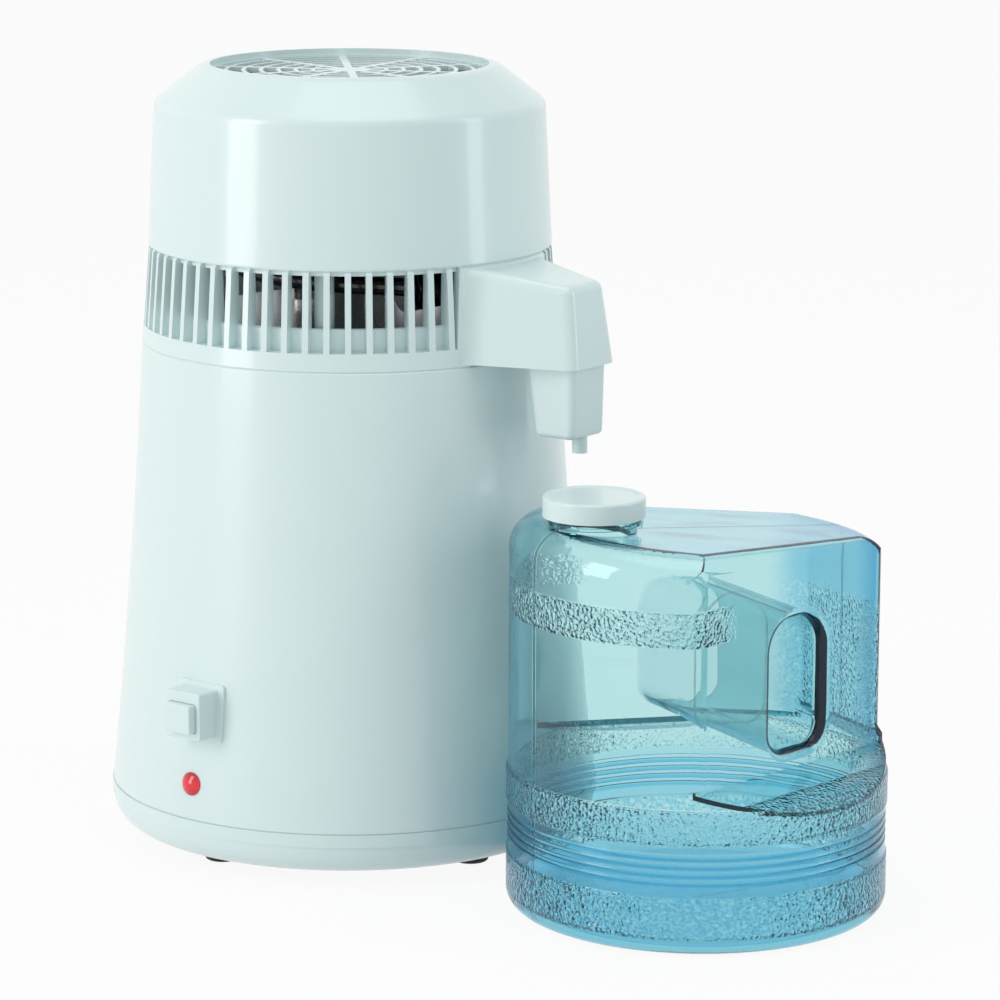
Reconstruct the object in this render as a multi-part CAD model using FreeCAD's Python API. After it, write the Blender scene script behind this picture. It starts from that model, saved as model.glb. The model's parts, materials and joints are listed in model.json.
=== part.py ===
import FreeCAD, Part
import math
import os
from FreeCAD import Vector, Matrix

os.makedirs("parts", exist_ok=True)

# Driving dimensions, millimetres. Z is up from the bench, the boiler's axis is the Z axis,
# and the front of the picture is towards -Y. Angles are degrees from +X, anticlockwise.

# Feet and base tray
FOOT_R = 8.5
FOOT_PATH_R = 82.0
FOOT_AZ = -138.0
FOOT_COUNT = 4
FOOT_DROP = 5.5
FOOT_EDGE = 1.5
FOOT_STEM_R = 4.0
FOOT_STEM = 4.0
BOSS_R = 9.8
BOSS_DROP = 2.5
TRAY_EDGE_R = 97.0
TRAY_WALL = 2.6
TRAY_RIM_R = 115.0
TRAY_RIM_H = 5.9
TRAY_H = 19.5
TRAY_STEP = 0.7
SPIGOT_H = 5.0
SPIGOT_T = 2.2
TRAY_SCREW_R = 1.8
TRAY_SCREW_HEAD_R = 3.4
TRAY_SCREW_HEAD = 2.0
TRAY_SCREW_GRIP = 12.0

# Housing shell
HOUSING_FOOT_R = 114.5
HOUSING_MID_R = 104.9
HOUSING_TOP_R = 98.0
HOUSING_H = 210.5
HOUSING_WALL = 2.6
HOUSING_SEAM = 0.6
DECK_R = 86.6
HOUSING_POST_R = 5.0
HOUSING_POST_AZ = -68.0
HOUSING_POST_H = 30.0
POST_WEB = 2.4

# Boiling chamber and what heats it
CHAMBER_R = 84.5
CHAMBER_WALL = 1.0
CHAMBER_DEPTH = 186.0
CHAMBER_CORNER = 14.0
CHAMBER_RIM_R = 92.6
HEAT_PLATE_R = 66.0
HEAT_PLATE_T = 4.0
ELEMENT_R = 50.0
ELEMENT_TUBE_R = 4.0
ELEMENT_SWEEP = 310.0
ELEMENT_AZ = 90.0
ELEMENT_LEG = 10.0
LEG_BEND_R = 10.0
TERMINAL_R = 1.6
TERMINAL_LEN = 9.0
THERMOSTAT_R = 8.0
THERMOSTAT_H = 6.0
THERMOSTAT_GAP = 15.0
TAB_W = 4.8
TAB_T = 0.8
TAB_H = 7.0
TAB_OUT = 4.0
STRAP_W = 17.0
STRAP_T = 1.2
STRAP_HOLE_R = 6.2
STRAP_SCREW_R = 1.5
STRAP_SCREW_HEAD_R = 2.8

# Start button and lamp at the front
BUTTON_AZ = -129.6
BUTTON_Z = 79.2
PLATE_W = 27.6
PLATE_H = 26.6
PLATE_PROUD = 1.4
BOX_W = 21.0
BOX_H = 22.0
BOX_PROUD = 12.6
BOX_WALL = 1.6
SLEEVE_FIT = 0.3
BUTTON_W = 15.6
BUTTON_H = 13.4
BUTTON_DROP = 0.8
BUTTON_PROUD = 4.2
BUTTON_DEPTH = 9.0
BUTTON_TRAVEL = 2.5
BUTTON_GAP = 0.25
BUTTON_WALL = 1.5
BUTTON_STEM_R = 2.2
SPRING_R = 3.4
SPRING_WIRE_R = 0.35
SPRING_TURNS = 5
SWITCH_W = 12.0
SWITCH_D = 11.0
LAMP_AZ = -131.2
LAMP_Z = 44.3
LAMP_R = 5.4
LAMP_PROUD = 2.6
LAMP_FLANGE = 0.6
LAMP_SEAT = 0.6
LAMP_BARREL_R = 4.2
LAMP_BARREL = 13.0
LAMP_LEAD_R = 0.7
LAMP_LEAD = 6.0
LAMP_LEAD_OUT = 2.0

# Power inlet and fan socket at the back
INLET_AZ = 90.0
INLET_Z = 62.0
INLET_PAD_W = 58.0
INLET_PAD_H = 32.0
INLET_PAD_Y = 114.0
INLET_FLANGE_W = 50.0
INLET_FLANGE_H = 23.0
INLET_FLANGE_T = 3.0
INLET_W = 28.0
INLET_H = 20.0
INLET_D = 22.0
INLET_HOLE_W = 24.0
INLET_HOLE_H = 16.0
INLET_HOLE_D = 17.0
INLET_CORNER = 5.0
PIN_PITCH = 7.0
PIN_L = 26.0
PIN_TAIL = 6.0
PIN_STEP = 1.6
PIN_W = 2.0
PIN_H = 4.0
INLET_SCREW_PITCH = 40.0
INLET_SCREW_R = 1.6
INLET_SCREW_HEAD_R = 3.0
FAN_SOCKET_Z = 208.0
SOCKET_PAD_R = 11.0
SOCKET_PAD_Y = 104.0
SOCKET_FLANGE_R = 8.6
SOCKET_FLANGE_T = 1.6
SOCKET_BODY_R = 6.0
SOCKET_FIT = 0.1
SOCKET_BODY_L = 12.0
SOCKET_HOLE_R = 4.4
SOCKET_HOLE_D = 8.0
CONTACT_R = 0.8
CONTACT_PITCH = 3.6
CONTACT_L = 7.0

# Slatted ring with the outlet arm
RING_H = 45.3
RING_FOOT_R = 97.9
RING_TOP_R = 94.5
RING_BAND_H = 8.5
RING_SEAM = 0.6
RING_WALL_IN = 94.0
RING_WALL = 2.5
SHELF_T = 3.2
COLLAR_IN_R = 87.6
COLLAR_OUT_R = 91.4
COLLAR_H = 10.6
HOOP_IN_R = 88.8
HOOP_OUT_R = 91.6
HOOP_DROP = 2.2
HOOP_RISE = 3.0
SLAT_W = 2.8
SLAT_PITCH = 5.806
SLAT_COUNT = 62
SLAT_IN_TOP_R = 88.8
SLAT_IN_FOOT_R = 87.6
SLAT_CHAMFER = 1.2
SLAT_SINK = 0.3
BACK_PANEL_SLATS = 5
LUG_AZ = (-98.3, 21.7, 141.7)
LUG_R = 82.4
LUG_W = 13.0
LUG_IN_R = 77.0

# Outlet arm, in its own frame: along the arm and across it
ARM_AZ = -38.5
ARM_SLATS = 7
ARM_END_R = 141.0
ARM_HALF_W = 16.2
ARM_TAPER = 17.0
ARM_FOOT_Z = 1.0
ARM_TOP_ROOT = 43.6
ARM_TOP_END = 37.4
ARM_DRAFT = 5.6
ARM_CORNER = 6.0
ARM_TOP_FILLET = 4.5
ARM_ROOT_FILLET = 13.0
ARM_ROOT_SINK = 0.2
ARM_WALL = 2.4
ARM_BASE_T = 2.2
ARM_BASE_GAP = 0.12

# Filter cup under the arm
CUP_IN_R = 111.6
CUP_OUT_R = 138.2
CUP_HALF_W = 13.4
CUP_DEPTH = 33.4
CUP_TAPER_IN = 4.4
CUP_TAPER = 0.6
CUP_WALL = 1.5
CUP_FLOOR = 1.8
CUP_CORNER = 3.5
CUP_FOOT_FILLET = 2.6
CUP_COLLAR_H = 6.0
CUP_COLLAR_IN = 0.9
CUP_FIT = 0.2
NOZZLE_AT_R = 132.6
NOZZLE_R = 3.5
NOZZLE_BORE_R = 2.1
NOZZLE_L = 7.4
SACHET_GAP = 0.6
SACHET_H = 20.0
SCREEN_T = 0.8

# Condenser pan, gasket and coil
GASKET_T = 3.0
GASKET_IN_R = 85.8
GASKET_OUT_R = 92.4
PAN_T = 1.0
PAN_RIM_R = 92.6
PAN_FLANGE_IN_R = 76.0
PAN_DOME_R = 66.0
PAN_DOME_H = 9.0
PORT_R = 5.0
PORT_WALL = 1.5
PORT_H = 4.0
PORT_FIT = 0.02
PORT_AT_R = 26.0
PORT_AZ = 150.0
COIL_TUBE_R = 4.2
COIL_BORE_R = 3.4
COIL_R = 60.0
COIL_LOW_Z = 270.5
COIL_PITCH = 24.0
COIL_SIDES = 8
COIL_STEPS = 10
COIL_BEND_R = 16.0
OUTLET_AT_R = 124.5
OUTLET_Z = 264.0
OUTLET_DROP = 14.0
FIN_R = 11.5
FIN_T = 0.6
FIN_PER_SIDE = 8
GROMMET_T = 2.0

# Fan, motor and top cover
COVER_FOOT_Z = 283.3
COVER_FOOT_R = 94.5
COVER_SIDE_R = 91.2
COVER_SIDE_Z = 350.5
COVER_SHOULDER_R = 69.0
COVER_TOP_Z = 367.6
COVER_WALL = 2.5
COVER_LIP = 1.2
COVER_SIDE_FILLET = 5.0
COVER_TOP_FILLET = 8.0
GRILLE_R = 64.9
GRILLE_SINK = 3.2
GRILLE_T = 2.5
GRILLE_LEDGE = 2.0
GRILLE_LEDGE_W = 3.0
GRILLE_RIM = 1.0
GRILLE_RING_PITCH = 8.1
GRILLE_RING_W = 1.9
GRILLE_RINGS = 6
GRILLE_HUB_R = 9.5
GRILLE_BARS = 10
GRILLE_BAR_W = 3.6
GRILLE_BAR_AZ = 93.4
GRILLE_GAP = 0.1
POST_R = 4.5
POST_BORE_R = 1.5
MOTOR_R = 30.0
MOTOR_H = 20.0
MOTOR_BOSS_R = 8.0
MOTOR_BOSS_H = 3.0
BRACKET_Z = 334.0
BRACKET_T = 2.0
BRACKET_HUB_R = 33.0
BRACKET_BORE_R = 4.0
BRACKET_ARM_W = 12.0
BRACKET_POST_R = 68.0
BRACKET_AZ = (30.0, 150.0, 270.0)
SHAFT_R = 2.0
SHAFT_GAP = 0.05
FAN_R = 62.0
FAN_HUB_R = 15.0
FAN_H = 13.0
FAN_BLADES = 7
FAN_BLADE_T = 1.6
FAN_PITCH = 32.0
FAN_LOW_Z = 317.0
SCREW_R = 1.4
SCREW_HEAD_R = 2.9
SCREW_HEAD_H = 1.8
SCREW_LEN = 9.0

# Collecting jug, in its own frame: along the handle and across it
JUG_X = 155.0
JUG_Y = -129.6
JUG_AZ = 27.0
JUG_BAND_R = 86.0
JUG_WALL_R = 85.0
JUG_WALL = 2.4
JUG_FOOT_R = 77.5
JUG_FOOT_H = 8.0
JUG_RIB_LOW = 27.2
JUG_RIB_HIGH = 49.6
JUG_RIBS = 4
JUG_RIB_PITCH = 3.8
JUG_RIB_FIRST = 34.4
JUG_RIB_R = 85.4
JUG_GROOVE = 1.0
JUG_BAND_TOP = 64.0
JUG_TOP_Z = 178.0
JUG_TOP_AT = -50.0
JUG_TOP_SLOPE = 0.085
JUG_SHOULDER = 14.0
PANEL_START = -45.0
PANEL_ANGLE = 18.0
PANEL_FOOT_Z = 73.0
PANEL_LEDGE = 20.0
PANEL_TOP_EDGE = 8.0
PANEL_SIDE_EDGE = 14.0
GRIP_FACE_X = 77.5
GRIP_FOOT_Z = 78.0
GRIP_EDGE = 6.0
WINDOW_IN = 3.0
WINDOW_OUT = 36.0
WINDOW_FOOT = 81.0
WINDOW_TOP = 140.0
WINDOW_TOP_R = 14.0
WINDOW_FOOT_R = 10.0
WINDOW_EDGE = 5.0
NECK_AT = -54.5
NECK_R = 19.0
NECK_BORE_R = 16.4
NECK_TOP_Z = 190.6
NECK_BEAD_R = 20.6
NECK_BEAD_Z = 182.4
NECK_BEAD_H = 1.4
CAP_R = 22.8
CAP_BORE_R = 20.9
CAP_FOOT_Z = 184.4
CAP_TOP_Z = 193.5
CAP_TOP_T = 1.5
CAP_DISH = 0.5
CAP_EDGE = 1.2
CAP_RIM = 2.6
LINER_R = 19.4
THREAD_R = 20.1
THREAD_H = 1.2
THREAD_Z = (185.6, 188.2)

# Heights that follow from the sizes above
TRAY_FOOT_Z = FOOT_DROP + BOSS_DROP
SEAM_Z = TRAY_FOOT_Z + TRAY_H
DECK_Z = SEAM_Z + HOUSING_H
RIM_Z = DECK_Z + CHAMBER_WALL
CHAMBER_FOOT_Z = RIM_Z - CHAMBER_DEPTH
PLATE_FOOT_Z = CHAMBER_FOOT_Z - HEAT_PLATE_T
PAN_Z = RIM_Z + GASKET_T
SHELF_Z = PAN_Z + PAN_T
BAND_Z = DECK_Z + RING_BAND_H
RING_TOP_Z = DECK_Z + RING_H
MOTOR_Z = BRACKET_Z + BRACKET_T
FAN_TOP_Z = FAN_LOW_Z + FAN_H
GRILLE_TOP_Z = COVER_TOP_Z - GRILLE_SINK
GRILLE_FOOT_Z = GRILLE_TOP_Z - GRILLE_T
ARM_Z = DECK_Z + ARM_FOOT_Z
CUP_TOP_Z = ARM_Z + 0.4
CUP_FOOT_Z = CUP_TOP_Z - CUP_DEPTH
FAR = 400.0
UP = Vector(0, 0, 1)


def save(node, shape):
    shape.exportStep("parts/" + node + ".step")


def polar(r, az, z=0.0):
    a = math.radians(az)
    return Vector(r * math.cos(a), r * math.sin(a), z)


def turned(shape, az, at=Vector(0, 0, 0)):
    out = shape.copy()
    out.rotate(Vector(0, 0, 0), UP, az)
    out.translate(at)
    return out


def box(x0, x1, y0, y1, z0, z1):
    return Part.makeBox(x1 - x0, y1 - y0, z1 - z0, Vector(x0, y0, z0))


def disc(r, z0, z1, at=Vector(0, 0, 0)):
    return Part.makeCylinder(r, z1 - z0, Vector(at.x, at.y, z0), UP)


def ring(r_in, r_out, z0, z1, at=Vector(0, 0, 0)):
    return disc(r_out, z0, z1, at).cut(disc(r_in, z0, z1, at))


def rod(r, start, end):
    run = end - start
    return Part.makeCylinder(r, run.Length, start, run)


def edges_of(points):
    """Edges through (r, z) points; a point given with a third value True is the middle of an arc."""
    place = [Vector(p[0], 0, p[1]) for p in points]
    edges = []
    i = 0
    while i < len(points) - 1:
        if len(points[i + 1]) == 3:
            edges.append(Part.Arc(place[i], place[i + 1], place[i + 2]).toShape())
            i += 2
        else:
            edges.append(Part.LineSegment(place[i], place[i + 1]).toShape())
            i += 1
    return edges


def spun(points, sweep=360.0, start=0.0):
    """A closed (r, z) outline turned about the Z axis."""
    wire = Part.Wire(edges_of(list(points) + [points[0][:2]]))
    solid = Part.Face(wire).revolve(Vector(0, 0, 0), UP, sweep)
    solid.rotate(Vector(0, 0, 0), UP, start)
    return solid


def plate_along_x(outline, x0, x1):
    """A closed (y, z) outline pushed from x0 to x1."""
    wire = Part.makePolygon([Vector(x0, y, z) for y, z in outline + outline[:1]])
    return Part.Face(wire).extrude(Vector(x1 - x0, 0, 0))


def rounded_bar(w, h, corner, x0, x1, y=0.0, z=0.0):
    """A rounded rectangle, w across Y and h along Z, pushed from x0 to x1."""
    bar = box(x0, x1, y - w / 2, y + w / 2, z - h / 2, z + h / 2)
    long_edges = [e for e in bar.Edges if abs(e.Length - (x1 - x0)) < 1e-6 and abs(e.tangentAt(0).x) > 0.99]
    return bar.makeFillet(corner, long_edges)


def joined(shapes):
    whole = shapes[0]
    if len(shapes) > 1:
        whole = whole.fuse(list(shapes[1:])).removeSplitter()
    return whole


def group(shapes):
    return Part.makeCompound(list(shapes))


def path_of(points, radii):
    """Straight runs through the points, joined by tangent arcs of the given radii."""
    edges = []
    start = points[0]
    for i in range(1, len(points) - 1):
        a = (points[i - 1] - points[i]).normalize()
        b = (points[i + 1] - points[i]).normalize()
        half = a.getAngle(b) / 2
        reach = radii[i - 1] / math.tan(half)
        first = points[i] + a * reach
        last = points[i] + b * reach
        centre = points[i] + (a + b).normalize() * (radii[i - 1] / math.sin(half))
        middle = centre + (points[i] - centre).normalize() * radii[i - 1]
        if (first - start).Length > 1e-4:
            edges.append(Part.LineSegment(start, first).toShape())
        edges.append(Part.Arc(first, middle, last).toShape())
        start = last
    if (points[-1] - start).Length > 1e-4:
        edges.append(Part.LineSegment(start, points[-1]).toShape())
    return edges


def pipe(edges, r):
    """A round rod along tangent edges."""
    wire = Part.Wire(edges)
    start = edges[0].valueAt(edges[0].FirstParameter)
    ahead = edges[0].tangentAt(edges[0].FirstParameter)
    section = Part.Wire(Part.Circle(start, ahead, r).toShape())
    shell = Part.BRepOffsetAPI.MakePipeShell(wire)
    shell.add(section)
    shell.build()
    shell.makeSolid()
    return shell.shape()


def arc_edge(circle, r_min, z, axis_at=Vector(0, 0, 0)):
    return [
        e
        for e in circle.Edges
        if all(abs(v.Z - z) < 1e-3 for v in e.Vertexes)
        and all(math.hypot(v.X - axis_at.x, v.Y - axis_at.y) > r_min for v in e.Vertexes)
    ]


def housing_r(z):
    """Outer radius of the gently hollow housing wall at height z."""
    low, mid, high = (SEAM_Z, HOUSING_FOOT_R), ((SEAM_Z + DECK_Z) / 2, HOUSING_MID_R), (DECK_Z, HOUSING_TOP_R)
    arc = Part.Arc(*[Vector(r, 0, h) for h, r in (low, mid, high)])
    level = Part.LineSegment(Vector(0, 0, z), Vector(2 * HOUSING_FOOT_R, 0, z))
    return arc.intersect(level)[0].X


def ring_r(z):
    """Outer radius of the slatted ring at height z."""
    return RING_FOOT_R + (RING_TOP_R - RING_FOOT_R) * (z - DECK_Z) / RING_H


# Base

def foot_places():
    return [polar(FOOT_PATH_R, FOOT_AZ + 360.0 / FOOT_COUNT * i) for i in range(FOOT_COUNT)]


def tray_outline(inset, rim_top):
    """Half section of the tray's outside, moved inwards by inset."""
    rim_r = TRAY_RIM_R - inset
    foot_r = TRAY_EDGE_R - inset * 0.6
    low = TRAY_FOOT_Z + inset
    high = SEAM_Z - TRAY_RIM_H
    belly = (rim_r - 2.6, low + 0.44 * (high - low), True)
    rim = [(rim_r - TRAY_STEP, high), (rim_r, high), (rim_r, rim_top)]
    return [(0, low), (foot_r, low), belly] + rim + [(0, rim_top)]


def base_tray():
    outside = spun(tray_outline(0.0, SEAM_Z))
    hollow = spun(tray_outline(TRAY_WALL, SEAM_Z))
    spigot_r = HOUSING_FOOT_R - HOUSING_WALL - 0.6
    spigot = ring(spigot_r - SPIGOT_T, spigot_r, SEAM_Z - TRAY_RIM_H, SEAM_Z + SPIGOT_H)
    spigot_seat = ring(spigot_r - SPIGOT_T, TRAY_RIM_R - 1.0, SEAM_Z - TRAY_RIM_H, SEAM_Z)
    bosses = [disc(BOSS_R, FOOT_DROP, TRAY_FOOT_Z + TRAY_WALL, p) for p in foot_places()]
    tray = joined([outside.cut(hollow), spigot, spigot_seat] + bosses)
    for p in foot_places():
        tray = tray.cut(disc(FOOT_STEM_R, FOOT_DROP, FOOT_DROP + FOOT_STEM, p))
    for p in housing_post_places():
        tray = tray.cut(disc(TRAY_SCREW_R, TRAY_FOOT_Z - 1, SEAM_Z, p))
    save("base_tray", tray)


def rubber_feet():
    feet = []
    for p in foot_places():
        pad = disc(FOOT_R, 0.0, FOOT_DROP, p)
        pad = pad.makeFillet(FOOT_EDGE, arc_edge(pad, FOOT_R - 1, 0.0, p))
        feet.append(joined([pad, disc(FOOT_STEM_R, FOOT_DROP, FOOT_DROP + FOOT_STEM, p)]))
    save("rubber_feet", group(feet))


def housing_post_places():
    reach = TRAY_EDGE_R - HOUSING_POST_R - 2.0
    return [polar(reach, HOUSING_POST_AZ + 90.0 * i) for i in range(4)]


def base_screws():
    screws = []
    for p in housing_post_places():
        head = disc(TRAY_SCREW_HEAD_R, TRAY_FOOT_Z - TRAY_SCREW_HEAD, TRAY_FOOT_Z, p)
        shank = disc(TRAY_SCREW_R, TRAY_FOOT_Z, TRAY_FOOT_Z + TRAY_WALL + TRAY_SCREW_GRIP, p)
        screws.append(joined([head, shank]))
    save("base_screws", group(screws))


# Housing

def housing_outline(inset):
    """Outside of the housing wall as an arc from foot to top, moved inwards by inset."""
    z_mid = (SEAM_Z + DECK_Z) / 2
    middle = (HOUSING_MID_R - inset, z_mid, True)
    return [(HOUSING_FOOT_R - inset, SEAM_Z), middle, (HOUSING_TOP_R - inset, DECK_Z)]


def facing(solid, az):
    """Turn a solid built facing +X to face the given azimuth."""
    return turned(solid, az)


def button_seat(extra=0.0):
    """How far out the wall stands at the button, and a distance beyond it."""
    return housing_r(BUTTON_Z) + extra


def housing_post(place):
    """A screw post inside the wall's foot, with the web that ties it to the wall."""
    low = TRAY_FOOT_Z + TRAY_WALL
    high = SEAM_Z + HOUSING_POST_H
    az = math.degrees(math.atan2(place.y, place.x))
    reach = housing_r(high) - 1.0
    web = box(place.Length, reach, -POST_WEB / 2, POST_WEB / 2, SEAM_Z + SPIGOT_H + 3.0, high)
    post = joined([disc(HOUSING_POST_R, low, high, place), turned(web, az)])
    return post.cut(disc(TRAY_SCREW_R, TRAY_FOOT_Z, low + TRAY_SCREW_GRIP, place))


def housing_shell():
    side = housing_outline(0.0)
    outside = spun([(0, SEAM_Z)] + side + [(0, DECK_Z)])
    outside = outside.makeChamfer(HOUSING_SEAM, arc_edge(outside, HOUSING_TOP_R - 1, DECK_Z))
    outside = outside.makeChamfer(HOUSING_SEAM, arc_edge(outside, HOUSING_FOOT_R - 1, SEAM_Z))
    inner = housing_outline(HOUSING_WALL)
    hollow = spun([(0, SEAM_Z)] + inner + [(0, DECK_Z)])
    hollow = hollow.cut(disc(FAR, DECK_Z - HOUSING_WALL, DECK_Z + 1))
    pads = [facing(inlet_pad(), INLET_AZ), facing(socket_pad(), INLET_AZ)]
    skin = joined([outside] + pads).cut(hollow)
    for pad in (inlet_pad_hollow(), socket_pad_hollow()):
        skin = skin.cut(facing(pad, INLET_AZ))
    skin = skin.cut(disc(DECK_R, DECK_Z - HOUSING_WALL - 1, DECK_Z + 1))
    skin = joined([skin] + [housing_post(p) for p in housing_post_places()])
    skin = skin.cut(facing(plate_cut(), BUTTON_AZ))
    skin = skin.cut(lamp_seat())
    save("housing_shell", skin)


# Start button

def plate_cut():
    """Opening in the wall behind the button's plate."""
    w = BOX_W / 2 - BOX_WALL
    h = BOX_H / 2 - BOX_WALL
    return box(button_seat(-12.0), button_seat(12.0), -w, w, BUTTON_Z - h, BUTTON_Z + h)


def wall_slab(proud, w, h, z):
    """A patch that follows the housing's outside, standing proud of it."""
    side = housing_outline(-proud)
    core = housing_outline(0.0)
    outer = spun([(0, SEAM_Z)] + side + [(0, DECK_Z)])
    inner = spun([(0, SEAM_Z)] + core + [(0, DECK_Z)])
    block = rounded_bar(w, h, 2.0, 60.0, 140.0, 0.0, z)
    return outer.common(block).cut(inner)


def button_box():
    z = BUTTON_Z
    front = button_seat(BOX_PROUD)
    plate = wall_slab(PLATE_PROUD, PLATE_W, PLATE_H, z)
    shell = rounded_bar(BOX_W, BOX_H, 1.4, button_seat(-4.0), front, 0.0, z)
    rim = [e for e in shell.Edges if all(abs(v.X - front) < 1e-6 for v in e.Vertexes)]
    shell = shell.makeFillet(0.8, rim)
    core = spun([(0, SEAM_Z)] + housing_outline(0.0) + [(0, DECK_Z)])
    w = BOX_W - 2 * BOX_WALL
    h = BOX_H - 2 * BOX_WALL
    sleeve = rounded_bar(w - SLEEVE_FIT, h - SLEEVE_FIT, 1.0, button_seat(-9.0), button_seat(2.0), 0.0, z)
    body = joined([plate, shell.cut(core), sleeve])
    w_in = w / 2 - BOX_WALL
    h_in = h / 2 - BOX_WALL
    hollow = box(button_seat(-20.0), button_seat(BOX_PROUD - BOX_WALL), -w_in, w_in, z - h_in, z + h_in)
    mouth_w = BUTTON_W + 2 * BUTTON_GAP
    mouth_h = BUTTON_H + 2 * BUTTON_GAP
    mouth = rounded_bar(mouth_w, mouth_h, 1.2, 60.0, 160.0, 0.0, z - BUTTON_DROP)
    body = body.cut(hollow).cut(mouth)
    save("button_box", facing(body, BUTTON_AZ))


def push_button():
    z = BUTTON_Z - BUTTON_DROP
    front = button_seat(BOX_PROUD + BUTTON_PROUD)
    back = front - BUTTON_PROUD - BUTTON_DEPTH
    cap = rounded_bar(BUTTON_W, BUTTON_H, 1.0, back, front, 0.0, z)
    rim = [e for e in cap.Edges if all(abs(v.X - front) < 1e-6 for v in e.Vertexes)]
    cap = cap.makeFillet(0.7, rim)
    w = BUTTON_W / 2 - BUTTON_WALL
    h = BUTTON_H / 2 - BUTTON_WALL
    hollow = box(back - 1, front - BUTTON_WALL, -w, w, z - h, z + h)
    stem = rod(BUTTON_STEM_R, Vector(back, 0, z), Vector(front - BUTTON_WALL / 2, 0, z))
    save("push_button", facing(joined([cap.cut(hollow), stem]), BUTTON_AZ))


def switch_front():
    """How far out the switch's plunger face stands, along the button's line."""
    return button_seat(BOX_PROUD - BUTTON_DEPTH - BUTTON_TRAVEL - 0.3)


def start_switch():
    z = BUTTON_Z - BUTTON_DROP
    face = switch_front()
    body = box(face - SWITCH_D, face, -SWITCH_W / 2, SWITCH_W / 2, z - BUTTON_H / 2, z + BUTTON_H / 2)
    back = face - SWITCH_D
    tabs = []
    for s in (-1, 1):
        at = z + s * TAB_OUT
        tabs.append(box(back - TAB_H, back, -TAB_W / 2, TAB_W / 2, at - TAB_T / 2, at + TAB_T / 2))
    save("start_switch", facing(joined([body] + tabs), BUTTON_AZ))


def button_spring():
    z = BUTTON_Z - BUTTON_DROP
    low = switch_front()
    high = button_seat(BOX_PROUD + BUTTON_PROUD - BUTTON_WALL)
    sides = 8
    clear = SPRING_WIRE_R
    reach = SPRING_R / math.cos(math.pi / sides)
    steps = SPRING_TURNS * sides
    points = []
    for i in range(steps + 1):
        a = 2 * math.pi * i / sides
        x = low + clear + (high - low - 2 * clear) * i / steps
        points.append(Vector(x, reach * math.cos(a), z + reach * math.sin(a)))
    turn = math.pi - 2 * math.pi / sides
    edge = (points[1] - points[0]).Length
    radius = edge / 2 * math.tan(turn / 2) * 0.999
    coil = pipe(path_of(points, [radius] * (len(points) - 2)), SPRING_WIRE_R)
    save("button_spring", facing(coil, BUTTON_AZ))


# Lamp

def lamp_placed(shape):
    """Set a piece built along +X from the wall's outside onto the leaning wall at the lamp."""
    lean = math.degrees(math.atan2(housing_r(LAMP_Z - LAMP_R) - housing_r(LAMP_Z + LAMP_R), 2 * LAMP_R))
    out = shape.copy()
    out.rotate(Vector(0, 0, 0), Vector(0, 1, 0), -lean)
    out.translate(Vector(housing_r(LAMP_Z), 0, LAMP_Z))
    return facing(out, LAMP_AZ)


def lamp_seat():
    """What the lamp takes out of the wall: a shallow round seat and the hole for the barrel."""
    seat = rod(LAMP_R, Vector(-LAMP_SEAT, 0, 0), Vector(5, 0, 0))
    hole = rod(LAMP_BARREL_R, Vector(-10, 0, 0), Vector(5, 0, 0))
    return lamp_placed(joined([seat, hole]))


def lamp():
    top = LAMP_PROUD
    rise = top - LAMP_FLANGE
    ball = (LAMP_R ** 2 + rise ** 2) / (2 * rise)
    half = math.asin(LAMP_R / ball) / 2
    dome_mid = (ball * math.sin(half), top - ball + ball * math.cos(half), True)
    outline = [(0, -LAMP_SEAT), (LAMP_R, -LAMP_SEAT), (LAMP_R, LAMP_FLANGE), dome_mid, (0, top)]
    dome = spun(outline)
    dome.rotate(Vector(0, 0, 0), Vector(0, 1, 0), 90)
    plug = rod(LAMP_BARREL_R, Vector(-HOUSING_WALL, 0, 0), Vector(0, 0, 0))
    save("lamp_lens", lamp_placed(joined([dome, plug])))
    holder = rod(LAMP_BARREL_R, Vector(-LAMP_BARREL, 0, 0), Vector(-HOUSING_WALL, 0, 0))
    leads = []
    for y in (-LAMP_LEAD_OUT, LAMP_LEAD_OUT):
        leads.append(rod(LAMP_LEAD_R, Vector(-LAMP_BARREL - LAMP_LEAD, 0, y), Vector(-LAMP_BARREL, 0, y)))
    save("lamp_body", lamp_placed(joined([holder] + leads)))


# Inlet and fan socket

def inlet_pad():
    return rounded_bar(INLET_PAD_W, INLET_PAD_H, 4.0, 90.0, INLET_PAD_Y, 0.0, INLET_Z)


def inlet_pad_hollow():
    back = INLET_PAD_Y - HOUSING_WALL
    w = INLET_PAD_W - 2 * HOUSING_WALL
    h = INLET_PAD_H - 2 * HOUSING_WALL
    hollow = rounded_bar(w, h, 1.5, 60.0, back, 0.0, INLET_Z)
    through = rounded_bar(INLET_W + 0.3, INLET_H + 0.3, INLET_CORNER, 60.0, INLET_PAD_Y + 5, 0.0, INLET_Z)
    screws = []
    for y in (-INLET_SCREW_PITCH / 2, INLET_SCREW_PITCH / 2):
        screws.append(rod(INLET_SCREW_R, Vector(60, y, INLET_Z), Vector(INLET_PAD_Y + 5, y, INLET_Z)))
    return joined([hollow, through] + screws)


def socket_pad():
    return rod(SOCKET_PAD_R, Vector(80, 0, FAN_SOCKET_Z), Vector(SOCKET_PAD_Y, 0, FAN_SOCKET_Z))


def socket_pad_hollow():
    start = Vector(60, 0, FAN_SOCKET_Z)
    hollow = rod(SOCKET_PAD_R - HOUSING_WALL, start, Vector(SOCKET_PAD_Y - HOUSING_WALL, 0, FAN_SOCKET_Z))
    through = rod(SOCKET_BODY_R + SOCKET_FIT, start, Vector(SOCKET_PAD_Y + 5, 0, FAN_SOCKET_Z))
    return joined([hollow, through])


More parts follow.
